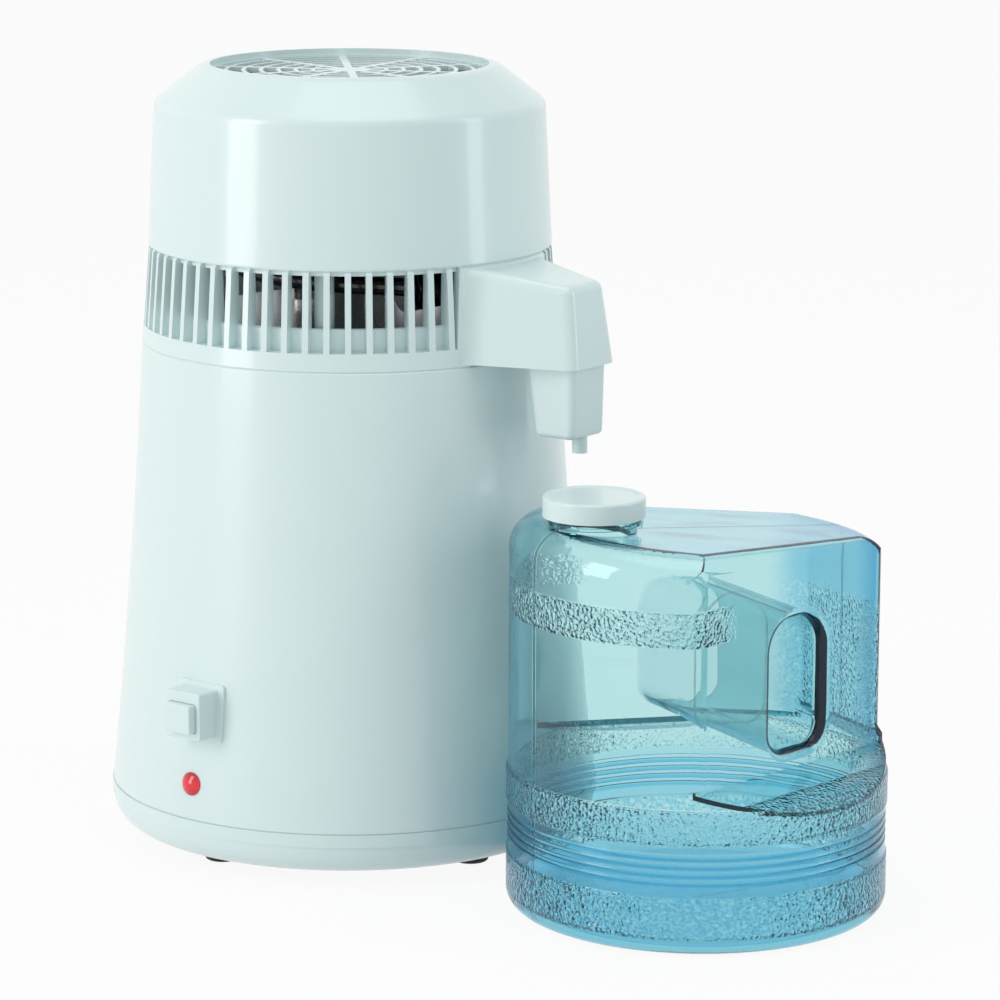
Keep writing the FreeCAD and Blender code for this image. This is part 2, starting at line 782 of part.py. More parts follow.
def power_inlet():
    x = INLET_PAD_Y
    z = INLET_Z
    flange = rounded_bar(INLET_FLANGE_W, INLET_FLANGE_H, 3.0, x, x + INLET_FLANGE_T, 0.0, z)
    barrel = rounded_bar(INLET_W, INLET_H, INLET_CORNER - 0.2, x - INLET_D, x + 0.5, 0.0, z)
    hollow = rounded_bar(INLET_HOLE_W, INLET_HOLE_H, 3.0, x + INLET_FLANGE_T - INLET_HOLE_D, x + 10, 0.0, z)
    body = joined([flange, barrel]).cut(hollow)
    for s in (-1, 1):
        y = s * INLET_SCREW_PITCH / 2
        body = body.cut(rod(INLET_SCREW_R, Vector(x - 5, y, z), Vector(x + 10, y, z)))
    back = x - INLET_D
    pins = []
    for i in (-1, 0, 1):
        y_pin = i * PIN_PITCH
        z_pin = z + (PIN_STEP if i == 0 else -PIN_STEP)
        low = Vector(back - PIN_TAIL, y_pin - PIN_W / 2, z_pin - PIN_H / 2)
        pins.append(Part.makeBox(PIN_L, PIN_W, PIN_H, low))
    for pin in pins:
        body = body.cut(pin)
    save("power_inlet", facing(body, INLET_AZ))
    save("inlet_pins", facing(group(pins), INLET_AZ))
    screws = []
    for s in (-1, 1):
        y = s * INLET_SCREW_PITCH / 2
        seat = Vector(x + INLET_FLANGE_T, y, z)
        head = rod(INLET_SCREW_HEAD_R, seat, seat + Vector(SCREW_HEAD_H, 0, 0))
        shank = rod(INLET_SCREW_R - 0.1, Vector(x - 5.0, y, z), seat)
        screws.append(joined([head, shank]))
    save("inlet_screws", facing(group(screws), INLET_AZ))


def small_socket(face, z):
    """A round two-pin appliance socket whose flange sits on a flat face at x = face."""
    flange = rod(SOCKET_FLANGE_R, Vector(face, 0, z), Vector(face + SOCKET_FLANGE_T, 0, z))
    body = rod(SOCKET_BODY_R, Vector(face - SOCKET_BODY_L, 0, z), Vector(face + 0.2, 0, z))
    hole = rod(SOCKET_HOLE_R, Vector(face + SOCKET_FLANGE_T - SOCKET_HOLE_D, 0, z), Vector(face + 5, 0, z))
    shell = joined([flange, body]).cut(hole)
    floor = face + SOCKET_FLANGE_T - SOCKET_HOLE_D
    pins = []
    for y in (-CONTACT_PITCH / 2, CONTACT_PITCH / 2):
        pins.append(rod(CONTACT_R, Vector(floor, y, z), Vector(floor + CONTACT_L, y, z)))
    return shell, group(pins)


def fan_socket():
    shell, pins = small_socket(SOCKET_PAD_Y, FAN_SOCKET_Z)
    save("fan_socket", facing(shell, INLET_AZ))
    save("fan_socket_pins", facing(pins, INLET_AZ))


# Boiling chamber and heater

def boiling_chamber():
    t = CHAMBER_WALL
    foot = CHAMBER_FOOT_Z
    c = CHAMBER_CORNER
    k = c * (1 - math.sqrt(0.5))
    wall = CHAMBER_R + t
    outer = [(0, foot), (wall - c, foot), (wall - k, foot + k, True), (wall, foot + c), (wall, DECK_Z)]
    rim = [(CHAMBER_RIM_R, DECK_Z), (CHAMBER_RIM_R, RIM_Z), (CHAMBER_R, RIM_Z)]
    c2 = c - t
    k2 = c2 * (1 - math.sqrt(0.5))
    inner = [(CHAMBER_R, foot + c), (CHAMBER_R - k2, foot + t + k2, True), (CHAMBER_R - c2, foot + t)]
    save("boiling_chamber", spun(outer + rim + inner + [(0, foot + t)]))


def heat_plate():
    plate = disc(HEAT_PLATE_R, PLATE_FOOT_Z, CHAMBER_FOOT_Z)
    save("heat_plate", plate)


def element_path():
    z = PLATE_FOOT_Z - ELEMENT_TUBE_R
    half = ELEMENT_SWEEP / 2
    middle = ELEMENT_AZ + 180.0
    sides = 6
    step = ELEMENT_SWEEP / sides
    reach = ELEMENT_R / math.cos(math.radians(step / 2))
    points = [polar(ELEMENT_R, middle - half, z)]
    for i in range(sides):
        points.append(polar(reach, middle - half + step * (i + 0.5), z))
    points.append(polar(ELEMENT_R, middle + half, z))
    for end, beside in ((0, 1), (-1, -2)):
        run = (points[end] - points[beside]).normalize() * LEG_BEND_R
        corner = points[end] + run
        if end == 0:
            points = [corner - UP * ELEMENT_LEG, corner] + points[1:]
        else:
            points = points[:-1] + [corner, corner - UP * ELEMENT_LEG]
    radii = [LEG_BEND_R * 0.9] + [ELEMENT_R] * sides + [LEG_BEND_R * 0.9]
    return points, path_of(points, radii)


def heating_element():
    points, path = element_path()
    save("heating_element", pipe(path, ELEMENT_TUBE_R))
    pins = [disc(TERMINAL_R, p.z - TERMINAL_LEN, p.z, p) for p in (points[0], points[-1])]
    save("element_terminals", group(pins))


def thermostats():
    for node, side in (("boil_dry_cutout", -1), ("reset_thermostat", 1)):
        at = Vector(side * THERMOSTAT_GAP, 0, 0)
        cup = disc(THERMOSTAT_R, PLATE_FOOT_Z - THERMOSTAT_H, PLATE_FOOT_Z, at)
        neck_low = PLATE_FOOT_Z - THERMOSTAT_H - STRAP_T - 5.0
        neck = disc(STRAP_HOLE_R - 0.1, neck_low, PLATE_FOOT_Z - THERMOSTAT_H, at)
        tabs = []
        for y in (-TAB_OUT, TAB_OUT):
            tab = box(-TAB_W / 2, TAB_W / 2, y - TAB_T / 2, y + TAB_T / 2, neck_low - TAB_H, neck_low)
            tab.translate(at)
            tabs.append(tab)
        save(node, joined([cup, neck] + tabs))


def thermostat_strap():
    z1 = PLATE_FOOT_Z - THERMOSTAT_H
    reach = THERMOSTAT_GAP + THERMOSTAT_R + 9.0
    strap = box(-reach, reach, -STRAP_W / 2, STRAP_W / 2, z1 - STRAP_T, z1)
    studs = []
    for s in (-1, 1):
        strap = strap.cut(disc(STRAP_HOLE_R, z1 - STRAP_T, z1, Vector(s * THERMOSTAT_GAP, 0, 0)))
        at = Vector(s * (reach - 4.0), 0, 0)
        spacer = disc(STRAP_SCREW_R + 1.6, z1, PLATE_FOOT_Z, at)
        strap = joined([strap, spacer]).cut(disc(STRAP_SCREW_R, z1 - STRAP_T, PLATE_FOOT_Z, at))
        head = disc(STRAP_SCREW_HEAD_R, z1 - STRAP_T - SCREW_HEAD_H, z1 - STRAP_T, at)
        studs.append(joined([head, disc(STRAP_SCREW_R, z1 - STRAP_T, PLATE_FOOT_Z, at)]))
    save("thermostat_strap", strap)
    save("strap_screws", group(studs))


# Slatted ring and arm

def slat():
    """One upright louvre, standing on +X."""
    foot = DECK_Z + RING_BAND_H - 1.0
    z_hoop = RING_TOP_Z - HOOP_DROP
    shoulder = RING_TOP_Z - SLAT_CHAMFER
    inside = [(HOOP_OUT_R - 0.2, RING_TOP_Z), (SLAT_IN_TOP_R + 0.2, z_hoop), (SLAT_IN_FOOT_R + 0.4, foot)]
    outside = [(ring_r(foot) - SLAT_SINK, foot), (ring_r(shoulder) - SLAT_SINK, shoulder)]
    outline = outside + [(RING_TOP_R - SLAT_CHAMFER, RING_TOP_Z)] + inside
    wire = Part.makePolygon([Vector(r, -SLAT_W / 2, z) for r, z in outline + outline[:1]])
    return Part.Face(wire).extrude(Vector(0, SLAT_W, 0))


def slat_azimuths():
    start = ARM_AZ + SLAT_PITCH * (ARM_SLATS + 1) / 2
    azimuths = [start + SLAT_PITCH * i for i in range(SLAT_COUNT - ARM_SLATS)]
    half_back = SLAT_PITCH * BACK_PANEL_SLATS / 2
    return [a for a in azimuths if abs((a - INLET_AZ + 180.0) % 360.0 - 180.0) > half_back]


def ring_panel(centre, half):
    """A solid stretch of the ring in place of slats."""
    foot = BAND_Z - 1
    shoulder = RING_TOP_Z - SLAT_CHAMFER
    outside = [(ring_r(foot), foot), (ring_r(shoulder), shoulder), (RING_TOP_R - SLAT_CHAMFER, RING_TOP_Z)]
    outline = [(HOOP_IN_R, foot)] + outside + [(HOOP_IN_R, RING_TOP_Z)]
    return spun(outline, 2 * half, centre - half)


def arm_side(z):
    """End and half-width of the arm at height z, and the centre of the fillet at its root."""
    rise = (z - ARM_Z) / (ARM_TOP_ROOT - ARM_FOOT_Z)
    end = ARM_END_R - ARM_DRAFT * rise
    half = ARM_HALF_W - ARM_DRAFT * 0.6 * rise
    a = math.radians(ARM_TAPER)
    inward = Vector(-math.cos(a), math.sin(a), 0)
    outward = Vector(math.sin(a), math.cos(a), 0)
    start = Vector(end, half, 0) + outward * ARM_ROOT_FILLET
    far = ring_r(z) - ARM_ROOT_SINK + ARM_ROOT_FILLET
    b = start.dot(inward)
    run = -b - math.sqrt(b * b - start.dot(start) + far * far)
    return end, half, start + inward * run, outward


def arm_plan(z, inset, root_r):
    """Closed outline of the arm at height z, in the arm's frame."""
    end, half, centre, outward = arm_side(z)
    radius = ARM_ROOT_FILLET + inset
    corner = ARM_CORNER - inset
    side = centre - outward * radius
    wall = centre - Vector(centre).normalize() * radius
    toward = ((side - centre).normalize() + (wall - centre).normalize()).normalize()
    arc = [wall, centre + toward * radius, side]
    root = Vector(wall).normalize() * root_r
    half_in = half - inset * (1 / outward.y - math.tan(math.radians(ARM_TAPER)))
    tip = Vector(end - inset, half_in, 0)
    up = [Vector(v.x, v.y, z) for v in [root] + arc + [tip]]
    down = [Vector(v.x, -v.y, z) for v in up]
    edges = [Part.LineSegment(down[0], down[1]).toShape(), Part.Arc(down[1], down[2], down[3]).toShape()]
    edges += path_of([down[3], down[4], up[4], up[3]], [corner, corner])
    edges += [Part.Arc(up[3], up[2], up[1]).toShape(), Part.LineSegment(up[1], up[0]).toShape()]
    return Part.Wire(edges + [Part.LineSegment(up[0], down[0]).toShape()])


def arm_lid_z(x, inset):
    """Height of the arm's falling top face at distance x out, moved down by inset."""
    root = ring_r(DECK_Z + ARM_TOP_ROOT)
    fall = (ARM_TOP_ROOT - ARM_TOP_END) / (ARM_END_R - root)
    return DECK_Z + ARM_TOP_ROOT - inset - fall * (x - root)


def arm_block(inset, top_fillet, root_r, low_z):
    high_z = DECK_Z + ARM_TOP_ROOT + 4.0
    block = Part.makeLoft([arm_plan(z, inset, root_r) for z in (low_z, high_z)], True, True)
    near, far = root_r / 2, ARM_END_R + 20.0
    lid = [Vector(near, -FAR / 4, arm_lid_z(near, inset)), Vector(far, -FAR / 4, arm_lid_z(far, inset)),
           Vector(far, -FAR / 4, FAR), Vector(near, -FAR / 4, FAR)]
    block = block.cut(Part.Face(Part.makePolygon(lid + lid[:1])).extrude(Vector(0, FAR / 2, 0)))
    if top_fillet:
        rim = []
        for e in block.Edges:
            mid = e.valueAt((e.FirstParameter + e.LastParameter) / 2)
            outside = all(math.hypot(v.X, v.Y) > ring_r(v.Z) - 0.01 for v in e.Vertexes)
            if outside and abs(mid.z - arm_lid_z(mid.x, inset)) < 0.02:
                rim.append(e)
        block = block.makeFillet(top_fillet, rim)
    return block


def vent_ring():
    foot = [(RING_WALL_IN, DECK_Z), (RING_FOOT_R - RING_SEAM, DECK_Z), (RING_FOOT_R, DECK_Z + RING_SEAM)]
    lip = (COLLAR_OUT_R - COLLAR_IN_R) / 2
    collar_top = (COLLAR_IN_R + lip, BAND_Z + COLLAR_H, True)
    collar_side = BAND_Z + COLLAR_H - lip
    collar = [(COLLAR_OUT_R, BAND_Z), (COLLAR_OUT_R, collar_side), collar_top, (COLLAR_IN_R, collar_side)]
    shelf = [(COLLAR_IN_R, SHELF_Z), (RING_WALL_IN, SHELF_Z)]
    parts = [spun(foot + [(ring_r(BAND_Z), BAND_Z)] + collar + shelf)]
    parts.append(ring(HOOP_IN_R, HOOP_OUT_R, RING_TOP_Z - HOOP_DROP, RING_TOP_Z + HOOP_RISE))
    parts += [turned(slat(), az) for az in slat_azimuths()]
    arm_half = SLAT_PITCH * ARM_SLATS / 2 - math.degrees(SLAT_W / 2 / RING_TOP_R) * 0.5
    parts.append(ring_panel(ARM_AZ, arm_half))
    parts.append(ring_panel(INLET_AZ, SLAT_PITCH * BACK_PANEL_SLATS / 2))
    socket_z = head_socket_z()
    pad = rod(SOCKET_PAD_R, Vector(HOOP_IN_R + 1, 0, socket_z), Vector(head_socket_face(), 0, socket_z))
    parts.append(facing(pad, INLET_AZ))
    for az in LUG_AZ:
        lug = box(LUG_IN_R, COLLAR_IN_R + 1.0, -LUG_W / 2, LUG_W / 2, SHELF_Z, SHELF_Z + SHELF_T)
        lug = lug.cut(disc(POST_BORE_R, SHELF_Z - 1, SHELF_Z + SHELF_T + 1, Vector(LUG_R, 0, 0)))
        parts.append(turned(lug, az))
    shell = joined(parts)
    arm = facing(arm_block(0.0, ARM_TOP_FILLET, COLLAR_IN_R, ARM_Z), ARM_AZ)
    arm = arm.cut(disc(COLLAR_OUT_R - 0.5, 0, FAR)).cut(disc(RING_WALL_IN, 0, SHELF_Z))
    shell = joined([shell, arm])
    hollow = facing(arm_block(ARM_WALL, 0.0, COLLAR_IN_R, ARM_Z - 5.0), ARM_AZ)
    shell = shell.cut(hollow.cut(disc(RING_WALL_IN + RING_WALL, 0, FAR)))
    duct = facing(rod(COIL_TUBE_R + GROMMET_T, Vector(70, 0, OUTLET_Z), Vector(110, 0, OUTLET_Z)), ARM_AZ)
    shell = shell.cut(duct)
    bore = rod(SOCKET_BODY_R + SOCKET_FIT, Vector(70, 0, socket_z), Vector(120, 0, socket_z))
    save("vent_ring", shell.cut(facing(bore, INLET_AZ)))


def head_socket_z():
    return (BAND_Z + RING_TOP_Z) / 2


def head_socket_face():
    return ring_r(BAND_Z) + 1.4


def head_socket():
    shell, pins = small_socket(head_socket_face(), head_socket_z())
    save("head_socket", facing(shell, INLET_AZ))
    save("head_socket_pins", facing(pins, INLET_AZ))


def cup_block(inset, z0, z1, corner):
    """Round-cornered block of the filter cup between two heights, tapered up to the cup's top."""
    wires = []
    for z in (z0, z1):
        rise = min(1.0, (z - CUP_FOOT_Z) / CUP_DEPTH)
        inner = CUP_IN_R + CUP_TAPER_IN * (1 - rise) + inset
        outer = CUP_OUT_R - CUP_TAPER * (1 - rise) - inset
        half = CUP_HALF_W - CUP_TAPER * (1 - rise) - inset
        mid = (inner + outer) / 2
        start = Vector(mid, -half, z)
        out = [Vector(outer, -half, z), Vector(outer, half, z)]
        corners = [start] + out + [Vector(inner, half, z), Vector(inner, -half, z), start]
        wires.append(Part.Wire(path_of(corners, [corner] * 4)))
    return Part.makeLoft(wires, True, True)


def arm_base():
    """The plate that closes the arm underneath, with the opening that the cup's collar enters."""
    gap = ARM_WALL + ARM_BASE_GAP
    plans = [arm_plan(z, gap, COLLAR_IN_R) for z in (CUP_TOP_Z, CUP_TOP_Z + ARM_BASE_T)]
    plate = Part.makeLoft(plans, True, True)
    hole = cup_block(CUP_COLLAR_IN - CUP_FIT, CUP_TOP_Z, CUP_TOP_Z + CUP_COLLAR_H, CUP_CORNER - 0.6)
    core = disc(RING_WALL_IN + RING_WALL + ARM_BASE_GAP, 0, FAR)
    save("arm_base", facing(plate.cut(hole).cut(core), ARM_AZ))


def filter_cup():
    body = cup_block(0.0, CUP_FOOT_Z, CUP_TOP_Z, CUP_CORNER)
    rim = [e for e in body.Edges if all(abs(v.Z - CUP_FOOT_Z) < 1e-6 for v in e.Vertexes)]
    body = body.makeFillet(CUP_FOOT_FILLET, rim)
    collar = cup_block(CUP_COLLAR_IN, CUP_TOP_Z, CUP_TOP_Z + CUP_COLLAR_H, CUP_CORNER - 0.8)
    hollow = cup_block(CUP_WALL + 0.4, CUP_FOOT_Z + CUP_FLOOR, CUP_TOP_Z + CUP_COLLAR_H + 1, CUP_CORNER - 1.5)
    nozzle = disc(NOZZLE_R, CUP_FOOT_Z - NOZZLE_L, CUP_FOOT_Z + CUP_FLOOR / 2, Vector(NOZZLE_AT_R, 0, 0))
    body = joined([body, collar, nozzle]).cut(hollow)
    body = body.cut(disc(NOZZLE_BORE_R, CUP_FOOT_Z - NOZZLE_L - 1, CUP_TOP_Z, Vector(NOZZLE_AT_R, 0, 0)))
    save("filter_cup", facing(body, ARM_AZ))
    z0 = CUP_FOOT_Z + CUP_FLOOR
    screen = cup_block(CUP_WALL + 0.4 + 0.15, z0, z0 + SCREEN_T, CUP_CORNER - 1.7)
    save("filter_screen", facing(screen, ARM_AZ))
    sachet = cup_block(CUP_WALL + 0.4 + SACHET_GAP, z0 + SCREEN_T, z0 + SCREEN_T + SACHET_H, 1.2)
    ends = [e for e in sachet.Edges if all(abs(v.Z - z0 - SCREEN_T - SACHET_H) < 1e-6 for v in e.Vertexes)]
    save("charcoal_sachet", facing(sachet.makeFillet(1.0, ends), ARM_AZ))


# Condenser

def outlet_grommet():
    end = Vector(RING_WALL_IN + RING_WALL, 0, OUTLET_Z)
    sleeve = rod(COIL_TUBE_R + GROMMET_T, Vector(SLAT_IN_FOOT_R, 0, OUTLET_Z), end)
    sleeve = sleeve.cut(rod(COIL_TUBE_R, Vector(70, 0, OUTLET_Z), Vector(120, 0, OUTLET_Z)))
    save("outlet_grommet", facing(sleeve, ARM_AZ))


def pan_gasket():
    save("pan_gasket", ring(GASKET_IN_R, GASKET_OUT_R, RIM_Z, PAN_Z))


def condenser_pan():
    z0 = PAN_Z
    t = PAN_T
    top = z0 + PAN_DOME_H
    above = [(PAN_RIM_R, z0 + t), (PAN_FLANGE_IN_R, z0 + t), (PAN_DOME_R, top + t), (0, top + t)]
    below = [(0, top), (PAN_DOME_R, top), (PAN_FLANGE_IN_R, z0)]
    pan = spun([(PAN_RIM_R, z0)] + above + below)
    port = polar(PORT_AT_R, PORT_AZ)
    pan = joined([pan, disc(PORT_R + PORT_WALL, top, top + PORT_H, port)])
    pan = pan.cut(disc(COIL_TUBE_R + PORT_FIT, top - 1, top + 2 * PORT_H, port))
    for az in LUG_AZ:
        pan = pan.cut(disc(POST_BORE_R, z0 - 1, z0 + 3, polar(LUG_R, az)))
    save("condenser_pan", pan)


def coil_path():
    """Steam riser, the falling turns, and the run out through the arm to the filter cup."""
    step = 360.0 / COIL_SIDES
    reach = COIL_R / math.cos(math.radians(step / 2))
    drop = COIL_PITCH / COIL_SIDES
    last_az = ARM_AZ - step / 2
    points = []
    for i in range(COIL_STEPS):
        back = COIL_STEPS - 1 - i
        points.append(polar(reach, last_az - step * back, COIL_LOW_Z + drop * back))
    half_edge = reach * math.sin(math.radians(step / 2))
    radius = half_edge / math.tan(math.radians(step / 2)) * 0.998
    radii = [radius] * COIL_STEPS
    port = polar(PORT_AT_R, PORT_AZ, PAN_Z + PAN_DOME_H)
    top_z = points[0].z + drop
    riser = Vector(port.x, port.y, top_z)
    turn_out = polar(OUTLET_AT_R - 44.0, ARM_AZ, OUTLET_Z)
    out = polar(OUTLET_AT_R, ARM_AZ, OUTLET_Z)
    end = Vector(out.x, out.y, OUTLET_Z - OUTLET_DROP)
    full = [port, riser] + points + [turn_out, out, end]
    bends = [COIL_BEND_R, COIL_BEND_R] + radii[1:-1] + [COIL_BEND_R, COIL_BEND_R, COIL_TUBE_R * 2.4]
    return full, bends


def condenser_coil():
    points, bends = coil_path()
    edges = path_of(points, bends)
    save("condenser_coil", pipe(edges, COIL_TUBE_R).cut(pipe(edges, COIL_BORE_R)))
    save("condenser_fins", group(coil_fins(edges)))


def coil_fins(edges):
    fins = []
    pitch = 2 * math.pi * COIL_R / COIL_SIDES / FIN_PER_SIDE
    for edge in edges:
        radius = getattr(edge.Curve, "Radius", 0.0)
        if abs(radius - COIL_R) > 3.0:
            continue
        count = int(round(edge.Length / pitch))
        for k in range(count):
            s = edge.FirstParameter + (edge.LastParameter - edge.FirstParameter) * (k + 0.5) / count
            at = edge.valueAt(s)
            ahead = edge.tangentAt(s)
            fin = Part.makeCylinder(FIN_R, FIN_T, at - ahead * (FIN_T / 2), ahead)
            fins.append(fin.cut(Part.makeCylinder(COIL_TUBE_R, FIN_T * 3, at - ahead * (FIN_T * 1.5), ahead)))
    return fins


# Fan, motor and cover

def fan_blades():
    hub = disc(FAN_HUB_R, FAN_LOW_Z, FAN_TOP_Z)
    hub = hub.makeFillet(2.0, arc_edge(hub, FAN_HUB_R - 1, FAN_LOW_Z))
    blade = box(FAN_HUB_R - 3.0, FAN_R + 5, -FAN_H, FAN_H, -FAN_BLADE_T / 2, FAN_BLADE_T / 2)
    blade.rotate(Vector(0, 0, 0), Vector(1, 0, 0), FAN_PITCH)
    blade.translate(Vector(0, 0, (FAN_LOW_Z + FAN_TOP_Z) / 2))
    limit = ring(FAN_HUB_R - 3.0, FAN_R, FAN_LOW_Z + 0.6, FAN_TOP_Z - 0.6)
    blades = [turned(blade.common(limit), 360.0 / FAN_BLADES * i) for i in range(FAN_BLADES)]
    fan = joined([hub] + blades).cut(disc(SHAFT_R, FAN_LOW_Z - 1, FAN_TOP_Z + 1))
    save("fan_blades", fan)
    save("fan_shaft", disc(SHAFT_R, FAN_LOW_Z + 1.0, MOTOR_Z + MOTOR_H - 2.0))


def fan_motor():
    can = disc(MOTOR_R, MOTOR_Z, MOTOR_Z + MOTOR_H)
    can = can.makeFillet(2.0, arc_edge(can, MOTOR_R - 1, MOTOR_Z + MOTOR_H))
    boss = disc(MOTOR_BOSS_R, MOTOR_Z + MOTOR_H, MOTOR_Z + MOTOR_H + MOTOR_BOSS_H)
    bore = disc(SHAFT_R + SHAFT_GAP, MOTOR_Z - 1, MOTOR_Z + MOTOR_H - 1.9)
    save("fan_motor", joined([can, boss]).cut(bore))


def motor_bracket():
    plate = disc(BRACKET_HUB_R, BRACKET_Z, BRACKET_Z + BRACKET_T)
    reach = BRACKET_POST_R + POST_R + 1.0
    half = BRACKET_ARM_W / 2
    arm = box(0, reach, -half, half, BRACKET_Z, BRACKET_Z + BRACKET_T)
    arms = [turned(arm, az) for az in BRACKET_AZ]
    bracket = joined([plate] + arms).cut(disc(BRACKET_BORE_R, BRACKET_Z - 1, BRACKET_Z + 5))
    for az in BRACKET_AZ:
        bracket = bracket.cut(disc(SCREW_R, BRACKET_Z - 1, BRACKET_Z + 5, polar(BRACKET_POST_R, az)))
    save("motor_bracket", bracket)
    screws = []
    for az in BRACKET_AZ:
        p = polar(BRACKET_POST_R, az)
        head = disc(SCREW_HEAD_R, BRACKET_Z - SCREW_HEAD_H, BRACKET_Z, p)
        screws.append(joined([head, disc(SCREW_R, BRACKET_Z, BRACKET_Z + SCREW_LEN, p)]))
    save("bracket_screws", group(screws))


def cover_outline(inset):
    foot = COVER_FOOT_Z
    return [(0, foot), (COVER_FOOT_R - inset, foot), (COVER_SIDE_R - inset, COVER_SIDE_Z - inset * 0.4),
            (COVER_SHOULDER_R - inset * 0.4, COVER_TOP_Z - inset), (0, COVER_TOP_Z - inset)]


def cover_block(inset, fillets):
    block = spun(cover_outline(inset))
    if fillets:
        side_z = COVER_SIDE_Z - inset * 0.4
        block = block.makeFillet(COVER_SIDE_FILLET, arc_edge(block, 50, side_z))
        block = block.makeFillet(COVER_TOP_FILLET, arc_edge(block, 50, COVER_TOP_Z - inset))
        block = block.makeFillet(COVER_LIP, arc_edge(block, 50, COVER_FOOT_Z))
    return block


def top_cover():
    shell = cover_block(0.0, True)
    hollow = cover_block(COVER_WALL, False)
    shell = shell.cut(hollow)
    post_top = COVER_TOP_Z - COVER_WALL / 2
    posts = [disc(POST_R, MOTOR_Z, post_top, polar(BRACKET_POST_R, az)) for az in BRACKET_AZ]
    legs = [disc(POST_R, SHELF_Z + SHELF_T, COVER_SIDE_Z + 8.0, polar(LUG_R, az)) for az in LUG_AZ]
    outside = cover_block(0.4, False)
    below = disc(COVER_FOOT_R + 5, 0, COVER_FOOT_Z + 1)
    inside = joined([outside, below])
    posts = [p.common(inside) for p in posts + legs]
    shell = joined([shell] + posts)
    ledge = ring(GRILLE_R - GRILLE_LEDGE_W, GRILLE_R + 3.0, GRILLE_FOOT_Z - GRILLE_LEDGE, COVER_TOP_Z - 1.0)
    shell = joined([shell, ledge])
    shell = shell.cut(disc(GRILLE_R + GRILLE_GAP, GRILLE_FOOT_Z, COVER_TOP_Z + 1))
    shell = shell.cut(disc(GRILLE_R - GRILLE_LEDGE_W, GRILLE_FOOT_Z - GRILLE_LEDGE - 5, COVER_TOP_Z + 1))
    for az in BRACKET_AZ:
        shell = shell.cut(disc(SCREW_R, BRACKET_Z, BRACKET_Z + SCREW_LEN, polar(BRACKET_POST_R, az)))
    for az in LUG_AZ:
        shell = shell.cut(disc(SCREW_R, SHELF_Z, SHELF_Z + SHELF_T + SCREW_LEN, polar(LUG_R, az)))
    save("top_cover", shell)


def head_screws():
    screws = []
    for az in LUG_AZ:
        p = polar(LUG_R, az)
        head = disc(SCREW_HEAD_R, PAN_Z - SCREW_HEAD_H, PAN_Z, p)
        screws.append(joined([head, disc(SCREW_R, PAN_Z, SHELF_Z + SHELF_T + SCREW_LEN, p)]))
    save("head_screws", group(screws))


def top_grille():
    z0, z1 = GRILLE_FOOT_Z, GRILLE_TOP_Z
    parts = [disc(GRILLE_HUB_R, z0, z1), ring(GRILLE_R - GRILLE_RIM, GRILLE_R, z0, z1)]
    for i in range(GRILLE_RINGS):
        mid = GRILLE_HUB_R + GRILLE_RING_PITCH * (i + 1) - 0.5
        parts.append(ring(mid - GRILLE_RING_W / 2, mid + GRILLE_RING_W / 2, z0, z1))
    for i in range(GRILLE_BARS):
        bar = box(GRILLE_HUB_R - 1, GRILLE_R - GRILLE_RIM / 2, -GRILLE_BAR_W / 2, GRILLE_BAR_W / 2, z0, z1)
        parts.append(turned(bar, GRILLE_BAR_AZ + 360.0 / GRILLE_BARS * i))
    save("top_grille", joined(parts))


# Collecting jug

def jug_place(shape):
    return turned(shape, JUG_AZ, Vector(JUG_X, JUG_Y, 0))


def jug_profile(inset):
    """Half section of the jug's round body, moved inwards by inset."""
    top = JUG_TOP_Z + 20.0
    foot = JUG_FOOT_H
    band = JUG_BAND_R - inset
    wall = JUG_WALL_R - inset
    points = [(0, inset), (JUG_FOOT_R - inset, inset)]
    points.append((band - 2.2, foot * 0.34 + inset * 0.7, True))
    points.append((band, foot + inset * 0.5))
    if inset:
        points += [(band - JUG_GROOVE, JUG_RIB_LOW), (band - JUG_GROOVE, JUG_RIB_HIGH)]
    else:
        points += [(band, JUG_RIB_LOW - 1.0), (JUG_RIB_R, JUG_RIB_LOW)]
        for i in range(JUG_RIBS):
            z = JUG_RIB_FIRST + JUG_RIB_PITCH * i
            points += [(JUG_RIB_R, z - 1.1), (JUG_RIB_R - JUG_GROOVE, z, True), (JUG_RIB_R, z + 1.1)]
        points += [(JUG_RIB_R, JUG_RIB_HIGH), (band, JUG_RIB_HIGH + 0.8)]
    points += [(band, JUG_BAND_TOP), (wall, JUG_BAND_TOP + 2.0), (wall, top), (0, top)]
    return points


def jug_top_z(x):
    return JUG_TOP_Z - JUG_TOP_SLOPE * (x - JUG_TOP_AT)


def above_top(inset):
    """Everything above the jug's sloping top face."""
    x0, x1 = -120.0, 120.0
    top = [Vector(x, -120, jug_top_z(x) - inset) for x in (x0, x1)]
    outline = top + [Vector(x1, -120, 300), Vector(x0, -120, 300)]
    return Part.Face(Part.makePolygon(outline + outline[:1])).extrude(Vector(0, 240, 0))


def panel_block(side, inset):
    """What the flat side panel takes off the round body, on the -Y side for side = -1."""
    start = Vector(PANEL_START, -math.sqrt(JUG_WALL_R ** 2 - PANEL_START ** 2), 0)
    a = math.radians(PANEL_ANGLE)
    normal = Vector(math.sin(a), -math.cos(a), 0)
    along = Vector(math.cos(a), math.sin(a), 0)
    p = start + normal * -inset
    fall = math.tan(math.radians(PANEL_LEDGE))
    foot = PANEL_FOOT_Z - inset
    out = normal * 80
    section = [p + UP * foot, p + out + UP * (foot - 80 * fall), p + out + UP * 300, p + UP * 300]
    section = [v - along * 60 for v in section]
    block = Part.Face(Part.makePolygon(section + section[:1])).extrude(along * 260)
    if side > 0:
        block = block.mirror(Vector(0, 0, 0), Vector(0, 1, 0))
    return block


